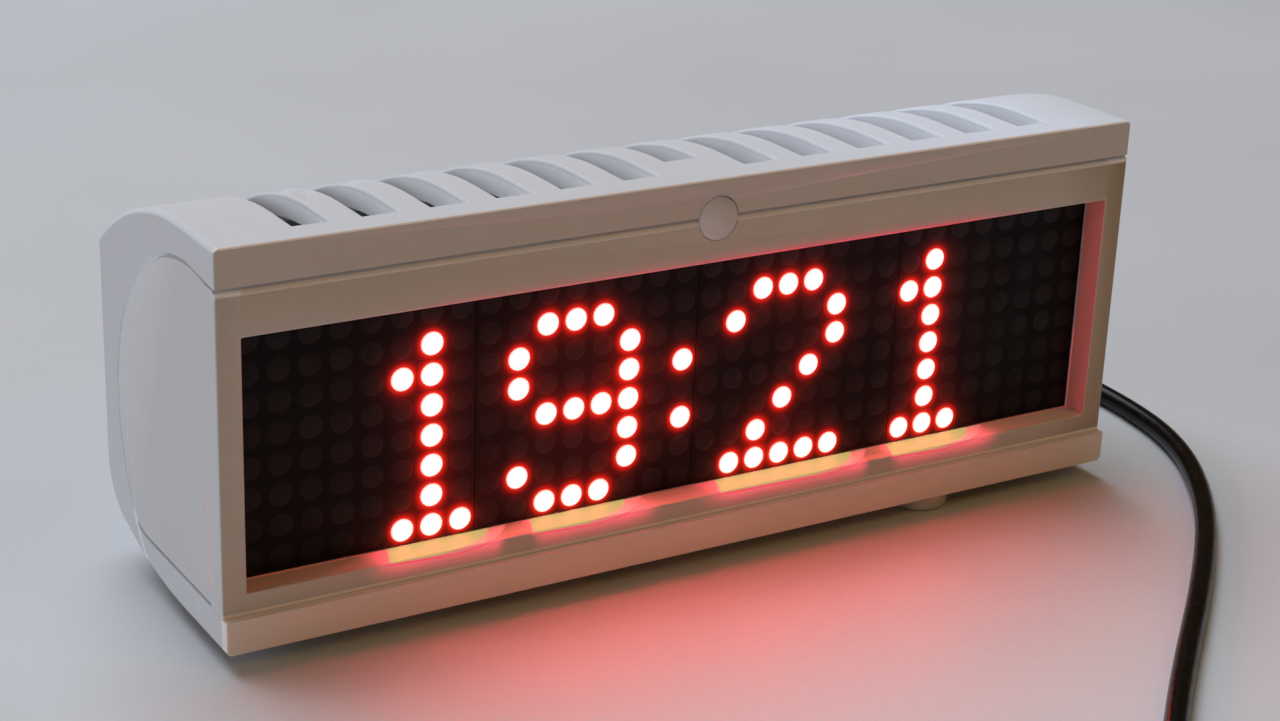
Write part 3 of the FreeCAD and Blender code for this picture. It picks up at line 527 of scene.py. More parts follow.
def bumped(shader, height, depth, strength=1.0):
    """Relief of a depth in metres on the shader's normal."""
    feed(shader, Normal=add(height.tree, "Bump", {
        "Height": height, "Distance": depth, "Strength": strength}))


def printed_plastic(name, colour, layer, glow=False, bands=()):
    """White printed plastic: layer ridges, slow patches of tone, a few dark specks.

    `bands` are (lowest, highest, colour, light) of strips of the front at a height; their colour is
    painted light and shade and their light is painted light. With bands the front also gets a brown
    painted shade, and the piece gets painted light and a painted highlight round the cheeks.
    """
    material, shader, place = new_finish(name, Specular_IOR_Level=0.3)
    colour = np.array(colour)
    ridges = effect(printed_layers, place, Layer=layer)
    streak = ridges.other("Streak")
    grain = noise(place, 2200.0, 2.0, 0.7)
    tone = effect(cloudy_tone, place, Size=14 * MM).blend(colour * 0.975, colour * 1.015)
    tone = (streak * 0.4).blend(tone, colour * 0.9)
    tone = grain.remap(0.3, 0.7).blend(tone, colour * 0.95)
    specks = effect(dark_specks, place, Spacing=7.5 * MM, Share=0.035)
    tone = (specks * 0.5).blend(tone, (0.3, 0.25, 0.2))
    if bands:
        x, y, z = axes(place)
        face = corners_of("front_frame")[0][1]
        # Painted shade: the front faces are tinted brown, by half on the shell; with glow the share
        # grows to full and the tint darkens towards the right end.
        share, painted_front_shade = 0.5, (0.66, 0.55, 0.43)
        if glow:
            share = x.remap(55 * MM, 66 * MM, 0.5, 1.0)
            painted_front_shade = share.remap(0.5, 1.0).blend(painted_front_shade, (0.5, 0.4, 0.3))
        tone = ((y < face + 0.02 * MM) * share).blend(tone, painted_front_shade)
        front = y < face + 0.3 * MM
        if glow:
            tone, light = painted_window_light(place, tone)
        else:
            light = painted_slot_light(place)
            # Painted light: a pale cool tint on the top of the hood, from the middle towards the
            # right end and weaker at the very end, not on the front.
            pale = x.remap(0.0, 45 * MM) * x.remap(58 * MM, 66 * MM, 1.0, 0.4)
            pale = pale * (1.0 - front) * z.remap(44 * MM, 50 * MM)
            tone = pale.blend(tone, (0.77, 0.81, 0.87))
        # Strips at a height: their colour is painted light and shade, and their light is painted
        # light.
        for lowest, highest, band, lift in bands:
            inside = z.between(lowest, highest) * front
            tone = inside.blend(tone, band)
            light = inside.blend(light, lift)
        # Painted highlight round the cheeks.
        light = painted_cheek_highlight(place).blend(light, (0.42, 0.44, 0.5))
        feed(shader, Emission_Color=light, Emission_Strength=1.0)
    feed(shader, Base_Color=tone, Roughness=streak.remap(0, 1, 0.6, 0.75))
    bumped(shader, ridges + grain, 0.02 * MM, 0.6)
    return material


def painted_slot_light(place):
    """Painted daylight in the thin walls of the slots, strongest just under the top.

    The slots repeat along X, so the walls are where X is within half a slot's width of a
    whole number of pitches.
    """
    x, y, z = axes(place)
    under = corners_of("rear_shell")[1][2] - z
    height = under.remap(0.25 * MM, 0.5 * MM) * under.fade(1.5 * MM, 4.5 * MM, smooth=True)
    ahead = abs(y + 2 * MM) < 13 * MM
    from_middle = abs((x + SLOT_PITCH / 2) % SLOT_PITCH - SLOT_PITCH / 2)
    walls = height * ahead * (abs(x) < SLOTS_END) * (from_middle < SLOT_HALF)
    return walls.blend(BLACK, (0.15, 0.16, 0.185))


def painted_cheek_highlight(place):
    """Painted highlight: a thin light line round the cheeks, where their chamfer meets the shell."""
    x, y, z = axes(place)
    across, rise = y - CHEEK_Y, z - CHEEK_Z
    away = abs((across * across + rise * rise).root() - CHEEK_RADIUS)
    level = rise.remap(CHEEK_RADIUS - 2.5 * MM, CHEEK_RADIUS - 0.8 * MM, 0.42, 0.0)
    return away.fade(0.08 * MM, 0.3 * MM, smooth=True) * (abs(x) > DISPLAY_SIDE) * level


def along_stops(before, after):
    """Curve stops along the display, for every run of lit dots in its lowest row.

    `before` are pairs of a distance in dots from the run's first edge and a level there,
    `after` the same from its last edge.
    """
    marks = SHOWN[-1]
    stops = []
    for n in range(1, DOTS_WIDE):
        shape = {".#": before, "#.": after}.get(marks[n - 1:n + 1], ())
        stops += [((n + offset) / DOTS_WIDE, level) for offset, level in shape]
    return sorted(stops)


def painted_window_light(place, tone):
    """Painted light that the digits throw on the plastic round the window.

    `way` runs from the display over the ledge, then down the face. Under each digit a
    yellow patch reaches to a limit that depends on the place along the display, sheared so
    that it spreads toward the viewer. A thin red line bounds the patch and a pink glow
    fades beyond it. Over the window a red line follows the edge.
    """
    low, high = corners_of("display_board")
    plane = corners_of("lit_dots")[0][1]
    edge, gap = 0.15 * MM, 3.7 * MM
    full = 1.12 * gap
    x, y, z = axes(place)
    depth = plane - y
    ahead = depth > -0.1 * MM
    depth = depth.maximum()
    below = (low[2] - edge - z).maximum()
    above = z - (high[2] + edge)
    aside = abs(x) - high[0]
    near = ahead * (above < -20 * MM)
    way = depth + below
    along = x.remap(low[0], high[0])
    sheared = along + way * (0.6 / (high[0] - low[0]))

    over = way - full_reach(sheared, full, (
        ((0.08, 0.0), (0.14, 0.92)),
        ((-0.9, 0.97), (-0.3, 0.88), (0.1, 0.72), (0.4, 0.4), (0.5, 0.0))))
    patch = near * over.fade(-0.12 * MM, 0.0, smooth=True)
    over = way - full_reach(sheared, full, (
        ((-0.02, 0.0), (0.04, 0.97)),
        ((-0.65, 1.07), (-0.125, 1.05), (0.42, 0.98), (0.75, 0.84), (0.98, 0.62), (1.05, 0.0))))
    lens = near * over.fade(-0.06 * MM, 0.06 * MM)
    rim = lens * over.remap(-0.22 * MM, -0.1 * MM, smooth=True)
    pink = along.ramp(along_stops(((-1.3, 0.0), (0.1, 1.0)), ((0.2, 1.0), (1.45, 0.0))), "EASE")
    pink = pink * ((below - 0.5 * MM).maximum() / (-0.9 * MM)).exponent() * near
    line = along.ramp([(0.12, 0.0), (0.24, 0.4), (0.45, 0.6), (0.58, 1.0),
                       (0.8, 1.0), (0.87, 0.25), (0.95, 0.0)], "EASE")
    line = line * (above.maximum() / (-0.4 * MM)).exponent() * ahead * (above > -0.1 * MM)
    light = pink.blend(BLACK, (0.75, 0.03, 0.08))
    for mask, colour in ((lens, (0.5, 0.08, 0.09)), (rim, (0.75, 0.0, 0.05)),
                         (patch, (0.52, 0.41, 0.13)), (line, (0.62, 0.0, 0.04))):
        light = mask.blend(light, colour)

    # Painted light and shade in the base colour: a darker, greyer ledge, red side walls of the
    # window, a dark base under the yellow patch, and red under the rim and the line over the window.
    inner = depth.fade(gap - 0.1 * MM, gap)
    ledge = near * inner * (below < 0.05 * MM) * (aside < 0.3 * MM)
    painted_ledge_shade = along.remap(0.55, 0.95).blend((0.58, 0.62, 0.6), (0.8, 0.86, 0.8))
    wall = aside.between(0.0, 0.3 * MM) * (above.maximum(below) < 0.05 * MM)
    wall = wall * ahead * (depth > 0.0) * inner
    deep = (rim - patch).maximum(line) * 0.8
    for mask, colour in ((ledge, painted_ledge_shade), (wall, (0.62, 0.3, 0.27)),
                         (patch, (0.02, 0.06, 0.06)), (deep, (0.5, 0.08, 0.14))):
        tone = mask.blend(tone, colour)
    return tone, light


def full_reach(along, full, shape):
    """How far the light reaches at a place along the display, as a share of its full reach."""
    return along.ramp(along_stops(*shape)) * full


def moulded(name, colour, roughness=0.5, grain=0.4 * MM, depth=0.02 * MM):
    """Moulded plastic or rubber with a fine grain and a slow change of sheen."""
    material, shader, place = new_finish(name)
    colour = np.array(colour)
    cloud = effect(cloudy_tone, place, Size=6 * MM)
    feed(shader, Base_Color=cloud.blend(colour * 0.85, colour * 1.15 + 0.001),
         Roughness=cloud.remap(0, 1, roughness - 0.06, roughness + 0.06))
    bumped(shader, noise(place, 1 / grain, 3.0, 0.6), depth)
    return material


def bare_metal(name, colour, roughness=0.32, along="X"):
    """Brushed metal: long thin streaks along one axis in tone and relief."""
    material, shader, place = new_finish(name, Metallic=1.0)
    colour = np.array(colour)
    scale = [90 if axis == along else 3000 for axis in "XYZ"]
    streaks = noise(add(place.tree, "Mapping", {"Vector": place, "Scale": scale}), 1.0, 2.0, 0.6)
    feed(shader, Base_Color=streaks.blend(colour * 0.82, colour * 1.08),
         Roughness=streaks.remap(0.2, 0.8, roughness - 0.08, roughness + 0.1))
    bumped(shader, streaks, 0.01 * MM)
    return material


def lacquered_board(name, colour):
    """Circuit board: copper lines and tinned pads under a coloured lacquer."""
    material, shader, place = new_finish(name, Coat_Weight=0.3, Coat_Roughness=0.15)
    colour = np.array(colour)
    lines = effect(board_lines, place, Pitch=1.27 * MM)
    pads = lines.other("Pad")
    tone = effect(cloudy_tone, place, Size=10 * MM).blend(colour * 0.8, colour * 1.2)
    tone = lines.blend(tone, colour * 2.1 + 0.01)
    feed(shader, Base_Color=pads.blend(tone, (0.62, 0.6, 0.56)),
         Roughness=pads.remap(0, 1, 0.35, 0.28))
    bumped(shader, lines, 0.03 * MM)
    return material


def sleeve_bands(name, first, second, axis, pitch):
    """Insulated leads side by side: round ridges across the band, two tones in turn, painted shade in
    the grooves between them.
    """
    material, shader, place = new_finish(name, Roughness=0.5)
    turn = axes(place)["XYZ".index(axis)] * (FULL_TURN / pitch)
    ridge = turn.cosine().remap(-1, 1)
    tone = (turn * 0.5).cosine().remap(-0.2, 0.2).blend(first, second)
    # Painted shade: near black in the grooves between the leads.
    feed(shader, Base_Color=ridge.fade(0.0, 0.25).blend(tone, (0.02, 0.02, 0.02)))
    bumped(shader, ridge, 0.4 * MM)
    return material


def glow_colours(amount):
    """Colour of the painted light in the display's face: black, deep red, bright red."""
    return amount.ramp([
        (0.0, (0.0, 0.0, 0.0)), (0.06, (0.006, 0.0006, 0.0006)), (0.16, (0.032, 0.002, 0.0016)),
        (0.32, (0.12, 0.003, 0.002)), (0.6, (0.5, 0.006, 0.003)), (1.0, (0.95, 0.03, 0.01))])


def face_black():
    """Matte black face of a module with a painted red glow near the lit dots, faint rings round every
    dot.
    """
    material, shader, place = new_finish(
        "Module face", Specular_IOR_Level=0.12, Emission_Strength=1.0)
    cloud = effect(cloudy_tone, place, Size=9 * MM)
    tone = cloud.blend((0.0030, 0.0016, 0.0016), (0.0052, 0.0030, 0.0030))
    feed(shader, Base_Color=attribute(place, "ring").blend(tone, (0.007, 0.0045, 0.0045)),
         Roughness=cloud.remap(0, 1, 0.42, 0.6),
         Emission_Color=glow_colours(attribute(place, "glow")))
    bumped(shader, noise(place, 2600.0), 0.02 * MM)
    return material


def smoky_dot():
    """Unlit dot: smoky resin, a darker ring where its cup begins, a painted red glow from lit
    neighbours.
    """
    material, shader, place = new_finish(
        "Unlit dot", Specular_IOR_Level=0.18, Emission_Strength=1.0)
    levels = ((0.0, 0.0125), (0.52, 0.0118), (0.64, 0.0082), (0.78, 0.0135), (0.92, 0.0165),
              (1.0, 0.0105))
    ring = attribute(place, "radial").ramp([
        (spot, (level, level * 0.68, level * 0.72)) for spot, level in levels])
    cloud = effect(cloudy_tone, place, Size=7 * MM)
    feed(shader, Base_Color=(cloud * 0.6).blend(ring, (0.005, 0.0033, 0.0034)),
         Roughness=cloud.remap(0, 1, 0.42, 0.6),
         Emission_Color=glow_colours(attribute(place, "glow") * 1.12))
    return material


def lit_dot(colour, strength):
    """Lit dot: looks white with a pink rim and throws red light."""
    material, shader, place = new_finish("Lit dot", Roughness=0.4, Emission_Strength=1.0)
    patch = effect(cloudy_tone, place, Size=1.2 * MM)
    core = patch.blend((0.98, 0.95, 0.93), (1.0, 0.985, 0.97))
    core = attribute(place, "radial").remap(0.82, 1.0).blend(core, (1.0, 0.42, 0.38))
    seen = add(place.tree, "LightPath", output="Is Camera Ray")
    feed(shader, Base_Color=core, Emission_Color=seen.blend(np.array(colour) * strength, core))
    return material


def lead_sheath(colour):
    """Soft black sheath: nearly smooth, faint waviness and rub marks."""
    material, shader, place = new_finish("Lead sheath", Specular_IOR_Level=0.16)
    colour = np.array(colour)
    cloud = effect(cloudy_tone, place, Size=4 * MM)
    feed(shader, Base_Color=cloud.blend(colour * 0.7, colour * 1.5),
         Roughness=cloud.remap(0, 1, 0.22, 0.3))
    bumped(shader, noise(place, 1400.0), 0.01 * MM, 0.5)
    return material


# Operators


class CLOCK_OT_camera(bpy.types.Operator):
    """Camera at the height and side of the clock from which it is usually seen"""

    bl_idname = "clock.camera"
    bl_label = "Camera"

    def execute(self, context):
        data = bpy.data.cameras.new("Camera")
        data.sensor_width = 36.0
        data.lens = context.scene.clock_studio.lens
        data.clip_start, data.clip_end = 0.01, 20.0
        camera = placed("Camera", data)
        right = np.array([0.8576, -0.5132, 0.0354])
        up = np.array([0.1542, 0.3222, 0.9340])
        right /= np.linalg.norm(right)
        up -= right * (up @ right)
        up /= np.linalg.norm(up)
        aim(camera, (-0.164378, -0.267827, 0.141571), right, up)
        context.scene.camera = camera
        return {"FINISHED"}


# The lead's route from its relief, round behind the clock's right side and forward to the coil
ROUTE = (
    (0.0380, 0.0423, 0.0177),
    (0.0380, 0.0563, 0.0177),
    (0.0455, 0.0710, 0.0104),
    (0.0600, 0.0785, 0.0046),
    (0.0760, 0.0730, 0.0019),
    (0.0845, 0.0570, 0.00152),
    (0.0866, 0.0375, 0.00152),
    (0.0859, 0.0185, 0.00152),
    (0.0872, 0.0005, 0.00152),
    (0.0840, -0.0185, 0.00152),
    (0.0728, -0.0365, 0.00152),
    (0.0565, -0.0538, 0.00152),
    (0.0292, -0.0784, 0.00152),
    (0.0060, -0.1020, 0.00152),
)
TAIL = (
    (0.0017938, -0.1062787, 0.00497),
    (-0.0101239, -0.1184019, 0.00497),
    (-0.0246203, -0.1272817, 0.00402),
    (-0.0408345, -0.1323908, 0.00402),
)
PLUG_HEADING = np.array([-0.953771, -0.300534, 0.0])
TURNS_IN = 4
POINTS_PER_HALF = 6


def coil_points(lead, start, heading):
    """Points of the coil's half turns, six to each, from `start` round to the left.

    Half turn k has its own radius and turns about a centre on the line across the
    heading; its points stand at the middle of equal angles, on the circle's tangents.
    The radii shrink by half a pitch per half turn, climb once, then grow again.
    """
    ahead = heading / np.linalg.norm(heading)
    across = np.array([-ahead[1], ahead[0], 0.0])
    steps = [*range(TURNS_IN), TURNS_IN, *range(TURNS_IN - 1, 0, -1)]
    angle = (np.arange(POINTS_PER_HALF) + 0.5) * math.pi / POINTS_PER_HALF
    stretch = 1 / math.cos(math.pi / 2 / POINTS_PER_HALF)
    here = start + ahead * lead.diameter
    way, points = 1.0, []
    for step in steps:
        radius = lead.outer_radius - lead.pitch / 2 * step
        centre = here + across * way * radius
        spokes = (-np.cos(angle)[:, None] * across + np.sin(angle)[:, None] * ahead) * way
        turn = centre + spokes * radius * stretch
        here = centre + across * way * radius
        if step == TURNS_IN:
            turn[:, 2] += lead.rise * (angle / math.pi) ** 2 * (3 - 2 * angle / math.pi)
            here[2] += lead.rise
        points.append(turn)
        way = -way
    return np.concatenate(points)


class CLOCK_OT_lead(bpy.types.Operator):
    """Lead along its route, coil and tail, with the relief and both plugs"""

    bl_idname = "clock.lead"
    bl_label = "Lead and plugs"

    def execute(self, context):
        lead = context.scene.clock_lead
        route = np.array(ROUTE)
        coil = coil_points(lead, route[-1], route[-1] - route[-2])
        points = np.concatenate([route, coil, TAIL])
        data = bpy.data.curves.new("usb_lead", "CURVE")
        data.dimensions = "3D"
        data.bevel_depth = lead.diameter / 2
        data.bevel_resolution = 4
        data.resolution_u = 8
        data.use_fill_caps = True
        spline = data.splines.new("NURBS")
        spline.points.add(len(points) - 1)
        spline.points.foreach_set("co", np.column_stack([points, np.ones(len(points))]).ravel())
        spline.order_u = 3
        spline.use_endpoint_u = True
        cord = settle(placed("usb_lead", data), lead_sheath(lead.sheath_colour), "cord_black",
                      "cord", "cord_coil", "cord_tail")

        grip = moulded("Plug grip", lead.sheath_colour, 0.48, 0.5 * MM, 0.03 * MM)
        metal = bare_metal("Plug steel", (0.62, 0.61, 0.58), 0.28)
        relief = self.relief(grip)
        plug = self.device_plug(grip)
        host, shell, tongue = self.host_plug(grip, metal)
        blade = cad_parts["micro_plug_shell"]
        coat(blade, metal)
        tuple(ROUTE[0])
        return {"FINISHED"}

    def relief(self, grip):
        """Tapered relief: a cone whose radius ripples with its length."""
        low, high = corners_of("cord_relief")
        along = np.linspace(0, 1, 41)
        radius = (2.5 - 0.7 * along) * MM
        radius -= 0.22 * MM * (0.5 - 0.5 * np.cos(along * FULL_TURN * 5)) ** 2
        profile = np.column_stack([along * (high[1] - low[1]), radius])
        origin = ((low[0] + high[0]) / 2, low[1], (low[2] + high[2]) / 2)
        return settle(turned("lead_relief", profile, origin, (0, 1, 0), 28, sharp=60),
                      grip, "plug_black", "cord_relief")

    def device_plug(self, grip):
        """Moulded grip of the small plug: a rounded rectangle that swells and ripples."""
        low, high = corners_of("micro_plug")
        t = np.linspace(0, 1, 49)
        end = np.minimum(np.minimum(t, 1 - t) / 0.06, 1)
        inset = 0.45 * MM * (1 - np.sqrt(1 - (1 - end) ** 2))
        ripple = 0.2 * MM * np.clip(np.sin((t - 0.3) * FULL_TURN / 0.16), 0, 1)
        ripple *= (t > 0.3) & (t < 0.8)
        half_width = (high[0] - low[0]) / 2 - inset - ripple
        half_height = (high[2] - low[2]) / 2 - inset - 0.25 * MM * t
        x, z = squircle(angles(48), half_width[:, None], half_height[:, None], 5.0)
        middle = (low + high) / 2
        rings = np.stack([middle[0] + x, (low[1] + (high[1] - low[1]) * t)[:, None] + 0 * x,
                          middle[2] + z], axis=-1)
        return settle(loft("device_plug_grip", rings, 60), grip, "plug_black", "micro_plug")

    def host_plug(self, grip, metal):
        """Grip, metal shell and tongue of the larger plug, along the tail's last run.

        The outline is a squircle whose half width, half height and power change with the
        distance: a thin round relief, a shoulder, then the ribbed grip. Sizes are in
        millimetres.
        """
        side = np.array([PLUG_HEADING[1], -PLUG_HEADING[0], 0.0])

        def along(s, half_width, half_height, power):
            x, z = squircle(angles(56), half_width[:, None], half_height[:, None], power[:, None])
            return np.array(TAIL[-1]) + MM * (
                s[:, None, None] * PLUG_HEADING + x[:, :, None] * side
                + z[:, :, None] * np.array([0, 0, 1.0]))

        s = np.concatenate([np.linspace(0, 9.2, 30), np.linspace(9.4, 12.5, 14),
                            np.linspace(12.9, 30.2, 44), np.linspace(30.3, 31.0, 8)])
        rise = np.clip((s - 9.0) / 3.0, 0, 1)
        rise = rise * rise * (3 - 2 * rise)
        thin = 1.8 + 0.07 * s - 0.2 * np.clip(np.sin(s * FULL_TURN / 2.0), 0, 1) * (s < 9)
        ribs = 0.3 * np.clip(np.sin((s - 16) * FULL_TURN / 2.2), 0, 1) * ((s > 16) & (s < 27))
        tip = 0.6 * (1 - np.sqrt(1 - np.clip((s - 30.4) / 0.6, 0, 1) ** 2))
        half_width = thin + (8.0 - thin) * rise - ribs - tip
        half_height = thin + (3.98 - thin) * rise - tip
        rings = along(s, half_width, half_height, 2.0 + 3.2 * rise)
        body = settle(loft("host_plug_grip", rings, 60), grip, "plug_black", "host_plug")

        s = np.array([31.0, 49.4, 49.7, 49.7, 49.6, 33.0])
        inset = np.array([0.0, 0.0, 0.12, 0.3, 0.4, 0.4])
        rings = along(s, 6.0 - inset, 2.25 - inset, np.full(6, 12.0))
        shell = settle(loft("host_plug_sleeve", rings, 50), metal, "steel", "host_plug_shell")
        s = np.array([32.8, 33.0, 48.6, 48.9])
        inset = np.array([0.2, 0.0, 0.0, 0.3])
        rings = along(s, 5.45 - inset, 0.9 - inset, np.full(4, 12.0))
        rings[:, :, 2] -= 0.85 * MM
        tongue = settle(loft("host_plug_tongue", rings, 50), moulded("Tongue", (0.6, 0.6, 0.58)),
                        "plug_black")
        return body, shell, tongue


class CLOCK_OT_case(bpy.types.Operator):
    """Printed shell and front unit with softened edges, the screws in the back, the feet"""

    bl_idname = "clock.case"
    bl_label = "Case, screws and feet"

    def execute(self, context):
        case = context.scene.clock_case
        low, high = corners_of("front_frame")
        toe, lip = low[2], high[2]
        back, top = corners_of("rear_shell")[1][1:]
        button_high = corners_of("front_button")[1]

        def weigh(spot, facing_up):
            if abs(spot.z - toe) < 0.1 * MM:
                return 0.0
            if -1.5 * MM < spot.z - lip < 0.3 * MM and spot.y < low[1] + MM:
                return 0.0
            from_button = math.hypot(spot.x, spot.z - (button_high[2] - BUTTON_RADIUS))
            if from_button < 3.3 * MM and spot.y < button_high[1]:
                return 0.0
            from_rim = math.hypot(spot.y - CHEEK_Y, spot.z - CHEEK_Z) - CHEEK_RADIUS
            return 0.0 if abs(spot.x) > 63 * MM and abs(from_rim) < 1.2 * MM else PLAIN_EDGE

        def weigh_shell(spot, facing_up):
            if abs(spot.x) > 50 * MM and spot.y > back - 0.2 * MM and spot.z < 20 * MM:
                return SCREW_HOLE_EDGE if abs(spot.x) < DISPLAY_SIDE else PLAIN_EDGE
            slot = abs(spot.x) < SLOTS_END and spot.z > 40 * MM and spot.y > low[1] + 2 * MM
            return 1.0 if slot and facing_up > 0.4 else weigh(spot, facing_up)

        # Painted strips on the front, as (lowest, highest, colour, light). The lighter colours and
        # added light on the toe's face, the frame's lowest strip, the frame's top under the lip and
        # the hood's top edge are painted light. The toe's top strip is a darker painted shade with a
        # little painted light.
        shell_painted_strips = (
            (0.0, toe - 0.06 * MM, (0.95, 0.85, 0.78), BLACK),
            (toe - 0.06 * MM, toe, (0.4, 0.42, 0.4), (0.08, 0.05, 0.035)),
            (top - 0.28 * MM, top - 0.03 * MM, (0.9, 0.84, 0.78), (0.09, 0.065, 0.055)))
        front_painted_strips = (
            (toe, toe + 0.4 * MM, (0.95, 0.82, 0.72), (0.04, 0.028, 0.02)),
            (lip - 1.75 * MM, lip + MM, (0.82, 0.76, 0.7), (0.03, 0.022, 0.019)))
        settle(merged_copy("rear_shell", "case_shell", case.edge_round, weigh_shell),
               printed_plastic("Hood print", case.shell_colour, case.layer_height,
                               bands=shell_painted_strips),
               "shell_print", "rear_shell")
        settle(merged_copy("front_frame", "case_front", case.edge_round, weigh),
               printed_plastic("Front print", case.front_colour, case.layer_height,
                               glow=True, bands=front_painted_strips),
               "frame_print", "front_frame")
        self.feet()
        self.screws()
        return {"FINISHED"}

    def feet(self):
        """Rubber feet: a flat top, a side that leans in and a rounded rim."""
        rubber = moulded("Foot rubber", (0.58, 0.56, 0.54), 0.45, 0.6 * MM, 0.03 * MM)
        rim = 0.7 * MM
        for node in ("foot_front_right", "foot_front_left", "foot_rear_right", "foot_rear_left"):
            low, high = corners_of(node)
            centre = (low + high) / 2
            radius, tall = (high[0] - low[0]) / 2, high[2] - low[2]
            profile = [(tall, TIP), (tall, radius)]
            profile += [(rim - rim * math.sin(a), radius - 0.25 * MM - rim * (1 - math.cos(a)))
                        for a in np.linspace(0, math.pi / 2, 7)]
            profile += [(0.12 * MM, radius * 0.55), (0.2 * MM, TIP)]
            origin = (centre[0], centre[1], low[2])
            settle(turned(node + "_rubber", profile, origin, (0, 0, 1), 36),
                   rubber, "foot_rubber", node)

    def screws(self):
        """Cap screws: a turned head with a six sided socket, a plain shank and a point.

        The socket's outline is cos(30 deg) / cos(angle - nearest flat).
        """
        low, high = corners_of("shell_screws")
        metal = bare_metal("Screw zinc", (0.55, 0.55, 0.53), 0.34, "Y")
        head, shank = 2.75 * MM, 1.45 * MM
        total = high[1] - low[1]

        def section(reach, angle):
            flat = np.cos(math.pi / 6) / np.cos((angle % (math.pi / 3)) - math.pi / 6)
            socket = (np.arange(len(reach)) < 3)[:, None]
            return reach * np.where(socket, flat, 1.0)

        profile = [(-1.5 * MM, TIP), (-1.5 * MM, 1.35 * MM), (0.0, 1.45 * MM),
                   (0.0, 2.45 * MM), (-0.3 * MM, head), (-2.8 * MM, head),
                   (-2.8 * MM, shank), (MM - total, shank), (-total, 0.5 * MM)]
        places = [(x, high[1], z) for x in (low[0] + head, high[0] - head)
                  for z in (low[2] + head, high[2] - head)]
        for number, place in enumerate(places):
            piece = turned(f"case_screw_{number + 1}", profile, place, (0, 1, 0), 36, section, 35)
            nodes = ["shell_screws"] if number == 0 else []
            settle(piece, metal, "steel", *nodes)


def dot_places():
    """Centres of all dots on the display's plane, and which of them are lit."""
    low, high = corners_of("display_board")
    pitch = (high[0] - low[0]) / DOTS_WIDE
    column, row = np.meshgrid(np.arange(DOTS_WIDE), np.arange(len(SHOWN)), indexing="ij")
    x = low[0] + (column + 0.5) * pitch
    z = (low[2] + high[2]) / 2 + (3.5 - row) * pitch
    lit = np.array([list(row) for row in SHOWN]).T == "#"
    return x, z, lit


def glow_at(display, points):
    """Painted light on the face: per lit dot a narrow bright rim and a wide faint spill, summed.

    With d the distance from the dot's edge, the light is exp(-d / halo) / 1.25 plus
    exp(-d / spill) / 9, the rims taken at their brightest and the spills added up.
    """
    x, z, lit = dot_places()
    centres = np.stack([x[lit], z[lit]], axis=-1)
    away = np.linalg.norm(points[:, None, :] - centres[None, :, :], axis=-1) - display.dot_radius
    away = np.maximum(away, 0)
    rim = np.exp(-away / display.halo).max(axis=1) / 1.25
    spill = np.exp(-away / display.spill).sum(axis=1) / 9
    return np.clip(rim + spill, 0, 1)


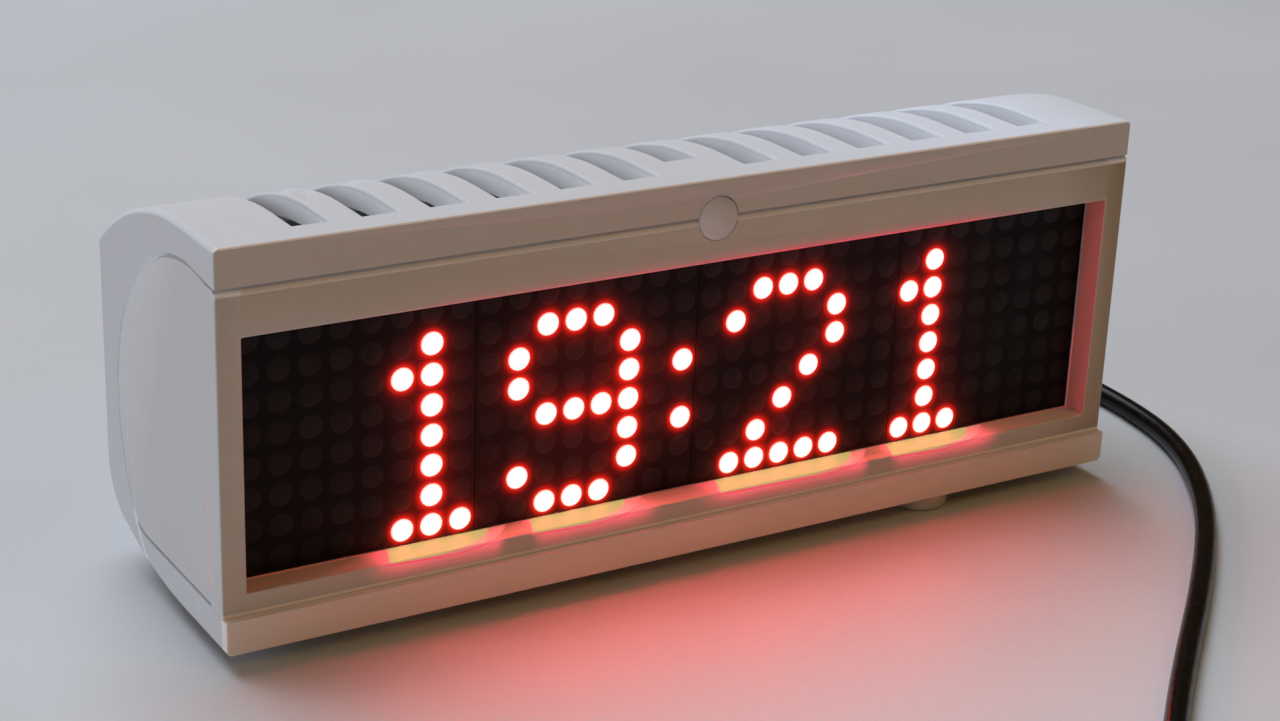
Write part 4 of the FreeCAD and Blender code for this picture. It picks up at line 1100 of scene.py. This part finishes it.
class CLOCK_OT_display(bpy.types.Operator):
    """Faces of the four modules, their lit and unlit dots"""

    bl_idname = "clock.display"
    bl_label = "Display"

    def execute(self, context):
        display = context.scene.clock_display
        black = face_black()
        for number in range(1, 5):
            settle(self.face(display, number), black, "matrix_black")
        settle(self.dots("unlit_dots", display, False), smoky_dot(), "dot_dark", "dim_dots")
        settle(self.dots("glowing_dots", display, True),
               lit_dot(display.lit_colour, display.lit_strength), "dot_lit", "lit_dots")
        return {"FINISHED"}

    def face(self, display, number):
        """One module's face: a flat sheet whose border falls back, ringed round each dot.

        Depth at (u, v) is the border's quarter round plus a shallow groove, a bell curve of
        the distance from the nearest dot's edge.
        """
        low, high = corners_of(f"matrix_module_{number}")
        steps = display.face_steps + 1
        u, v = np.meshgrid(np.linspace(low[0], high[0], steps), np.linspace(low[2], high[2], steps),
                           indexing="ij")
        x, z, _ = dot_places()
        pitch = x[1, 0] - x[0, 0]
        du = (u - x[0, 0] + pitch / 2) % pitch - pitch / 2
        dv = (v - z[0, 0] + pitch / 2) % pitch - pitch / 2
        ring = np.exp(-((np.hypot(du, dv) - display.dot_radius) / (0.28 * MM)) ** 2)
        border = np.minimum(np.minimum(u - low[0], high[0] - u), np.minimum(v - low[2], high[2] - v))
        drop = 0.03 * MM * np.clip(1 - border / (0.35 * MM), 0, 1) ** 2
        depth = low[1] - 0.045 * MM + drop + 0.012 * MM * ring
        points = np.stack([u, depth, v], axis=-1).reshape(-1, 3)
        glow = glow_at(display, points[:, [0, 2]])
        piece = fill_mesh(f"module_face_{number}", points, sheet_faces(steps, steps),
                          values={"glow": glow, "ring": ring})
        return face_toward(piece, (0, -1, 0))

    def dots(self, name, display, want_lit):
        """Low round domes: rings whose radii and heights are listed from the middle out."""
        x, z, lit = dot_places()
        low, high = corners_of("lit_dots")
        chosen = lit == want_lit
        places = np.stack([x[chosen], z[chosen]], axis=-1)
        around = 18 if want_lit else 14
        rings = np.array([0.55, 0.9, 1.0, 1.0] if want_lit else [0.5, 0.8, 1.0])
        rise = np.array([0.9, 0.55, 0.3, 0.0] if want_lit else [0.48, 0.42, 0.2])
        radius = display.dot_radius * (1.02 if want_lit else 1.0)
        angle = angles(around)
        front, back = low[1] + 0.02 * MM, high[1]
        one = np.concatenate([
            [[0, 0, 1.0]],
            np.stack([np.outer(rings, np.cos(angle)), np.outer(rings, np.sin(angle)),
                      np.repeat(rise[:, None], around, axis=1)], axis=-1).reshape(-1, 3)])
        flat = places[:, None, :] + one[None, :, :2] * radius
        depth = np.broadcast_to(back + (front - back) * one[:, 2], flat.shape[:2])
        points = np.stack([flat[..., 0], depth, flat[..., 1]], axis=-1).reshape(-1, 3)
        turn = np.arange(around)
        fan = np.stack([np.zeros(around, int), 1 + (turn + 1) % around, 1 + turn], axis=-1)
        bands = 1 + sheet_faces(len(rings), around, True)
        shift = (np.arange(len(places)) * len(one))[:, None, None]
        radial = np.concatenate([[0.0], np.repeat(rings, around)])
        glow = np.ones(len(points)) if want_lit else glow_at(display, flat.reshape(-1, 2))
        piece = fill_mesh(name, points, bands[None] + shift, fan[None] + shift,
                          {"radial": np.tile(radial, len(places)), "glow": glow})
        return face_toward(piece, (0, -1, 0))


class CLOCK_OT_button(bpy.types.Operator):
    """Round printed button with its flange and stem"""

    bl_idname = "clock.button"
    bl_label = "Button"

    def execute(self, context):
        """A turned body: a shallow ball, its side, a flange cut flat above and below, a stem."""
        case = context.scene.clock_case
        low, high = corners_of("front_button")
        frame_top = corners_of("front_frame")[1][2]
        cap, dome, stem = BUTTON_RADIUS, 0.9 * MM, 1.45 * MM
        flange = (high[0] - low[0]) / 2
        centre = high[2] - cap
        ball = (cap ** 2 + dome ** 2) / (2 * dome)
        lean = np.linspace(0.004, math.asin(cap / ball), 12)
        back = high[1] - low[1]
        profile = list(zip(ball * (1 - np.cos(lean)), ball * np.sin(lean)))
        profile += [(back - 1.45 * MM, cap), (back - 1.45 * MM, flange), (back - 0.6 * MM, flange),
                    (back - 0.6 * MM, stem), (back, stem), (back, TIP)]

        def section(reach, angle):
            above = (frame_top - centre) / np.maximum(np.sin(angle), 1e-6)
            under = (centre - low[2]) / np.maximum(-np.sin(angle), 1e-6)
            cut = np.minimum(reach, np.minimum(above, under))
            return np.where(reach > cap + 0.1 * MM, cut, reach)

        settle(turned("round_button", profile, (0, low[1], centre), (0, 1, 0), 64, section),
               printed_plastic("Button print", case.button_colour, case.layer_height),
               "button_print", "front_button", body="front_button")
        return {"FINISHED"}


class CLOCK_OT_inside(bpy.types.Operator):
    """Finishes of the boards, chips, switches and leads inside the case"""

    bl_idname = "clock.inside"
    bl_label = "Inside parts"

    def execute(self, context):
        light_grey, grey = (0.3, 0.3, 0.31), (0.24, 0.24, 0.25)
        red, black = (0.25, 0.03, 0.03), (0.03, 0.03, 0.03)
        finishes = (
            (moulded("Module body", (0.012, 0.011, 0.011)),
             "matrix_module_1 matrix_module_2 matrix_module_3 matrix_module_4"),
            (moulded("Black nylon", (0.02, 0.02, 0.02), 0.45),
             "module_sockets pin_headers button_switch"),
            (moulded("Chip epoxy", (0.028, 0.028, 0.03), 0.6, 0.3 * MM, 0.03 * MM), "driver_chips"),
            (moulded("Ivory nylon", (0.55, 0.52, 0.45), 0.4), "button_plunger"),
            (moulded("Reset button", black, 0.4), "reset_button"),
            (lacquered_board("Blue board", (0.02, 0.07, 0.16)),
             "controller_board radio_module power_board"),
            (lacquered_board("Green board", (0.02, 0.14, 0.06)), "display_board button_board"),
            (bare_metal("Small screw zinc", (0.6, 0.6, 0.58), 0.35, "Y"),
             "button_board_screws controller_screws power_board_screws"),
            (bare_metal("Can steel", (0.7, 0.7, 0.68), 0.3), "radio_can"),
            (bare_metal("Switch cover", (0.62, 0.62, 0.6), 0.35), "reset_switch"),
            (bare_metal("Socket steel", (0.66, 0.65, 0.62), 0.28), "power_socket"),
            (sleeve_bands("Ribbon", light_grey, grey, "Z", 1.28 * MM), "display_ribbon"),
            (sleeve_bands("Button leads", red, black, "X", 1.2 * MM), "button_leads"),
            (sleeve_bands("Power leads", red, black, "Z", 1.2 * MM), "power_leads"),
        )
        for material, nodes in finishes:
            for node in nodes.split():
                coat(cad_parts[node], material)
        return {"FINISHED"}


class CLOCK_OT_stage(bpy.types.Operator):
    """Pale floor, soft window light from behind, weak warm light in front"""

    bl_idname = "clock.stage"
    bl_label = "Stage"

    def execute(self, context):
        studio = context.scene.clock_studio
        ring = np.concatenate([[0.0], np.geomspace(0.05, 6.0, 24)])
        angle = angles(48)
        points = np.stack([np.outer(ring, np.cos(angle)), np.outer(ring, np.sin(angle)),
                           np.zeros((len(ring), 48))], axis=-1).reshape(-1, 3)
        floor = fill_mesh("studio_floor", points, sheet_faces(len(ring), 48, True))
        coat(face_toward(floor, (0, 0, 1)), self.floor_finish(studio))
        self.lamp("Window", (-0.15, 0.95, 1.85), studio.window_power, 1.7, (0.80, 0.875, 1.0))
        self.lamp("Side", (-2.35, 0.05, 0.5), studio.side_power, 1.0, (0.8, 0.87, 1.0))
        self.lamp("Room", (0.7, -1.2, 1.5), studio.room_power, 0.9, (1.0, 0.66, 0.26))
        self.world(context)
        context.scene.view_settings.view_transform = "Standard"
        return {"FINISHED"}

    def floor_finish(self, studio):
        """Pale satin desk top: faint patches of tone and a fine grain."""
        material, shader, place = new_finish("Desk top", Specular_IOR_Level=0.3)
        colour = np.array(studio.floor_colour)
        cloud = effect(cloudy_tone, place, Size=120 * MM)
        grain = noise(place, 900.0, 3.0)
        tone = cloud.blend(colour * 0.985, colour * 1.015)
        feed(shader, Base_Color=grain.remap(0.35, 0.65, 0, 0.5).blend(tone, colour * 0.97),
             Roughness=cloud.remap(0, 1, 0.5, 0.58))
        bumped(shader, grain, 0.02 * MM, 0.4)
        return material

    def lamp(self, name, place, power, size, colour):
        """A square lamp that faces the clock."""
        data = bpy.data.lights.new(name, "AREA")
        data.energy, data.size, data.color = power, size, colour
        back = np.array(place) / np.linalg.norm(place)
        side = np.cross([0, 0, 1.0], back)
        side /= np.linalg.norm(side)
        aim(placed(name, data), place, side, np.cross(back, side))

    def world(self, context):
        """Weak warm even light; the camera and glass see the floor's pale grey."""
        world = bpy.data.worlds.new("Studio")
        world.use_nodes = True
        tree = world.node_tree
        tree.nodes.clear()
        seen = add(tree, "LightPath", output="Is Camera Ray")
        direct = seen.maximum(seen.other("Is Transmission Ray"))
        light = add(tree, "Background", {"Color": (0.09, 0.05, 0.015, 1), "Strength": 1.0})
        shown = add(tree, "Background", {"Color": (0.5, 0.505, 0.52, 1), "Strength": 1.0})
        feed(tree.nodes.new("ShaderNodeOutputWorld"),
             Surface=add(tree, "MixShader", {0: direct, 1: light, 2: shown}))
        context.scene.world = world


class CLOCK_PT_panel(bpy.types.Panel):
    """Lists the clock's sizes, colours and the steps that build it"""

    bl_idname = "CLOCK_PT_panel"
    bl_label = "Desk Clock"
    bl_space_type = "VIEW_3D"
    bl_region_type = "UI"
    bl_category = "Desk Clock"

    def draw(self, context):
        for label, group in GROUPS.items():
            box = self.layout.box()
            box.label(text=group.__doc__)
            for field in group.__annotations__:
                box.prop(getattr(context.scene, label), field)
        for step in STEPS:
            self.layout.operator(step.bl_idname)


STEPS = (
    CLOCK_OT_camera,
    CLOCK_OT_lead,
    CLOCK_OT_case,
    CLOCK_OT_display,
    CLOCK_OT_button,
    CLOCK_OT_inside,
    CLOCK_OT_stage,
)


def register():
    for kind in (*GROUPS.values(), *STEPS, CLOCK_PT_panel):
        bpy.utils.register_class(kind)
    for label, group in GROUPS.items():
        setattr(bpy.types.Scene, label, PointerProperty(type=group))


def unregister():
    for label in GROUPS:
        delattr(bpy.types.Scene, label)
    for kind in reversed((*GROUPS.values(), *STEPS, CLOCK_PT_panel)):
        bpy.utils.unregister_class(kind)


def main():
    """Registers the classes and runs every step in order."""
    register()
    bpy.ops.clock.camera()
    bpy.ops.clock.lead()
    bpy.ops.clock.case()
    bpy.ops.clock.display()
    bpy.ops.clock.button()
    bpy.ops.clock.inside()
    bpy.ops.clock.stage()


if __name__ == "__main__":
    main()
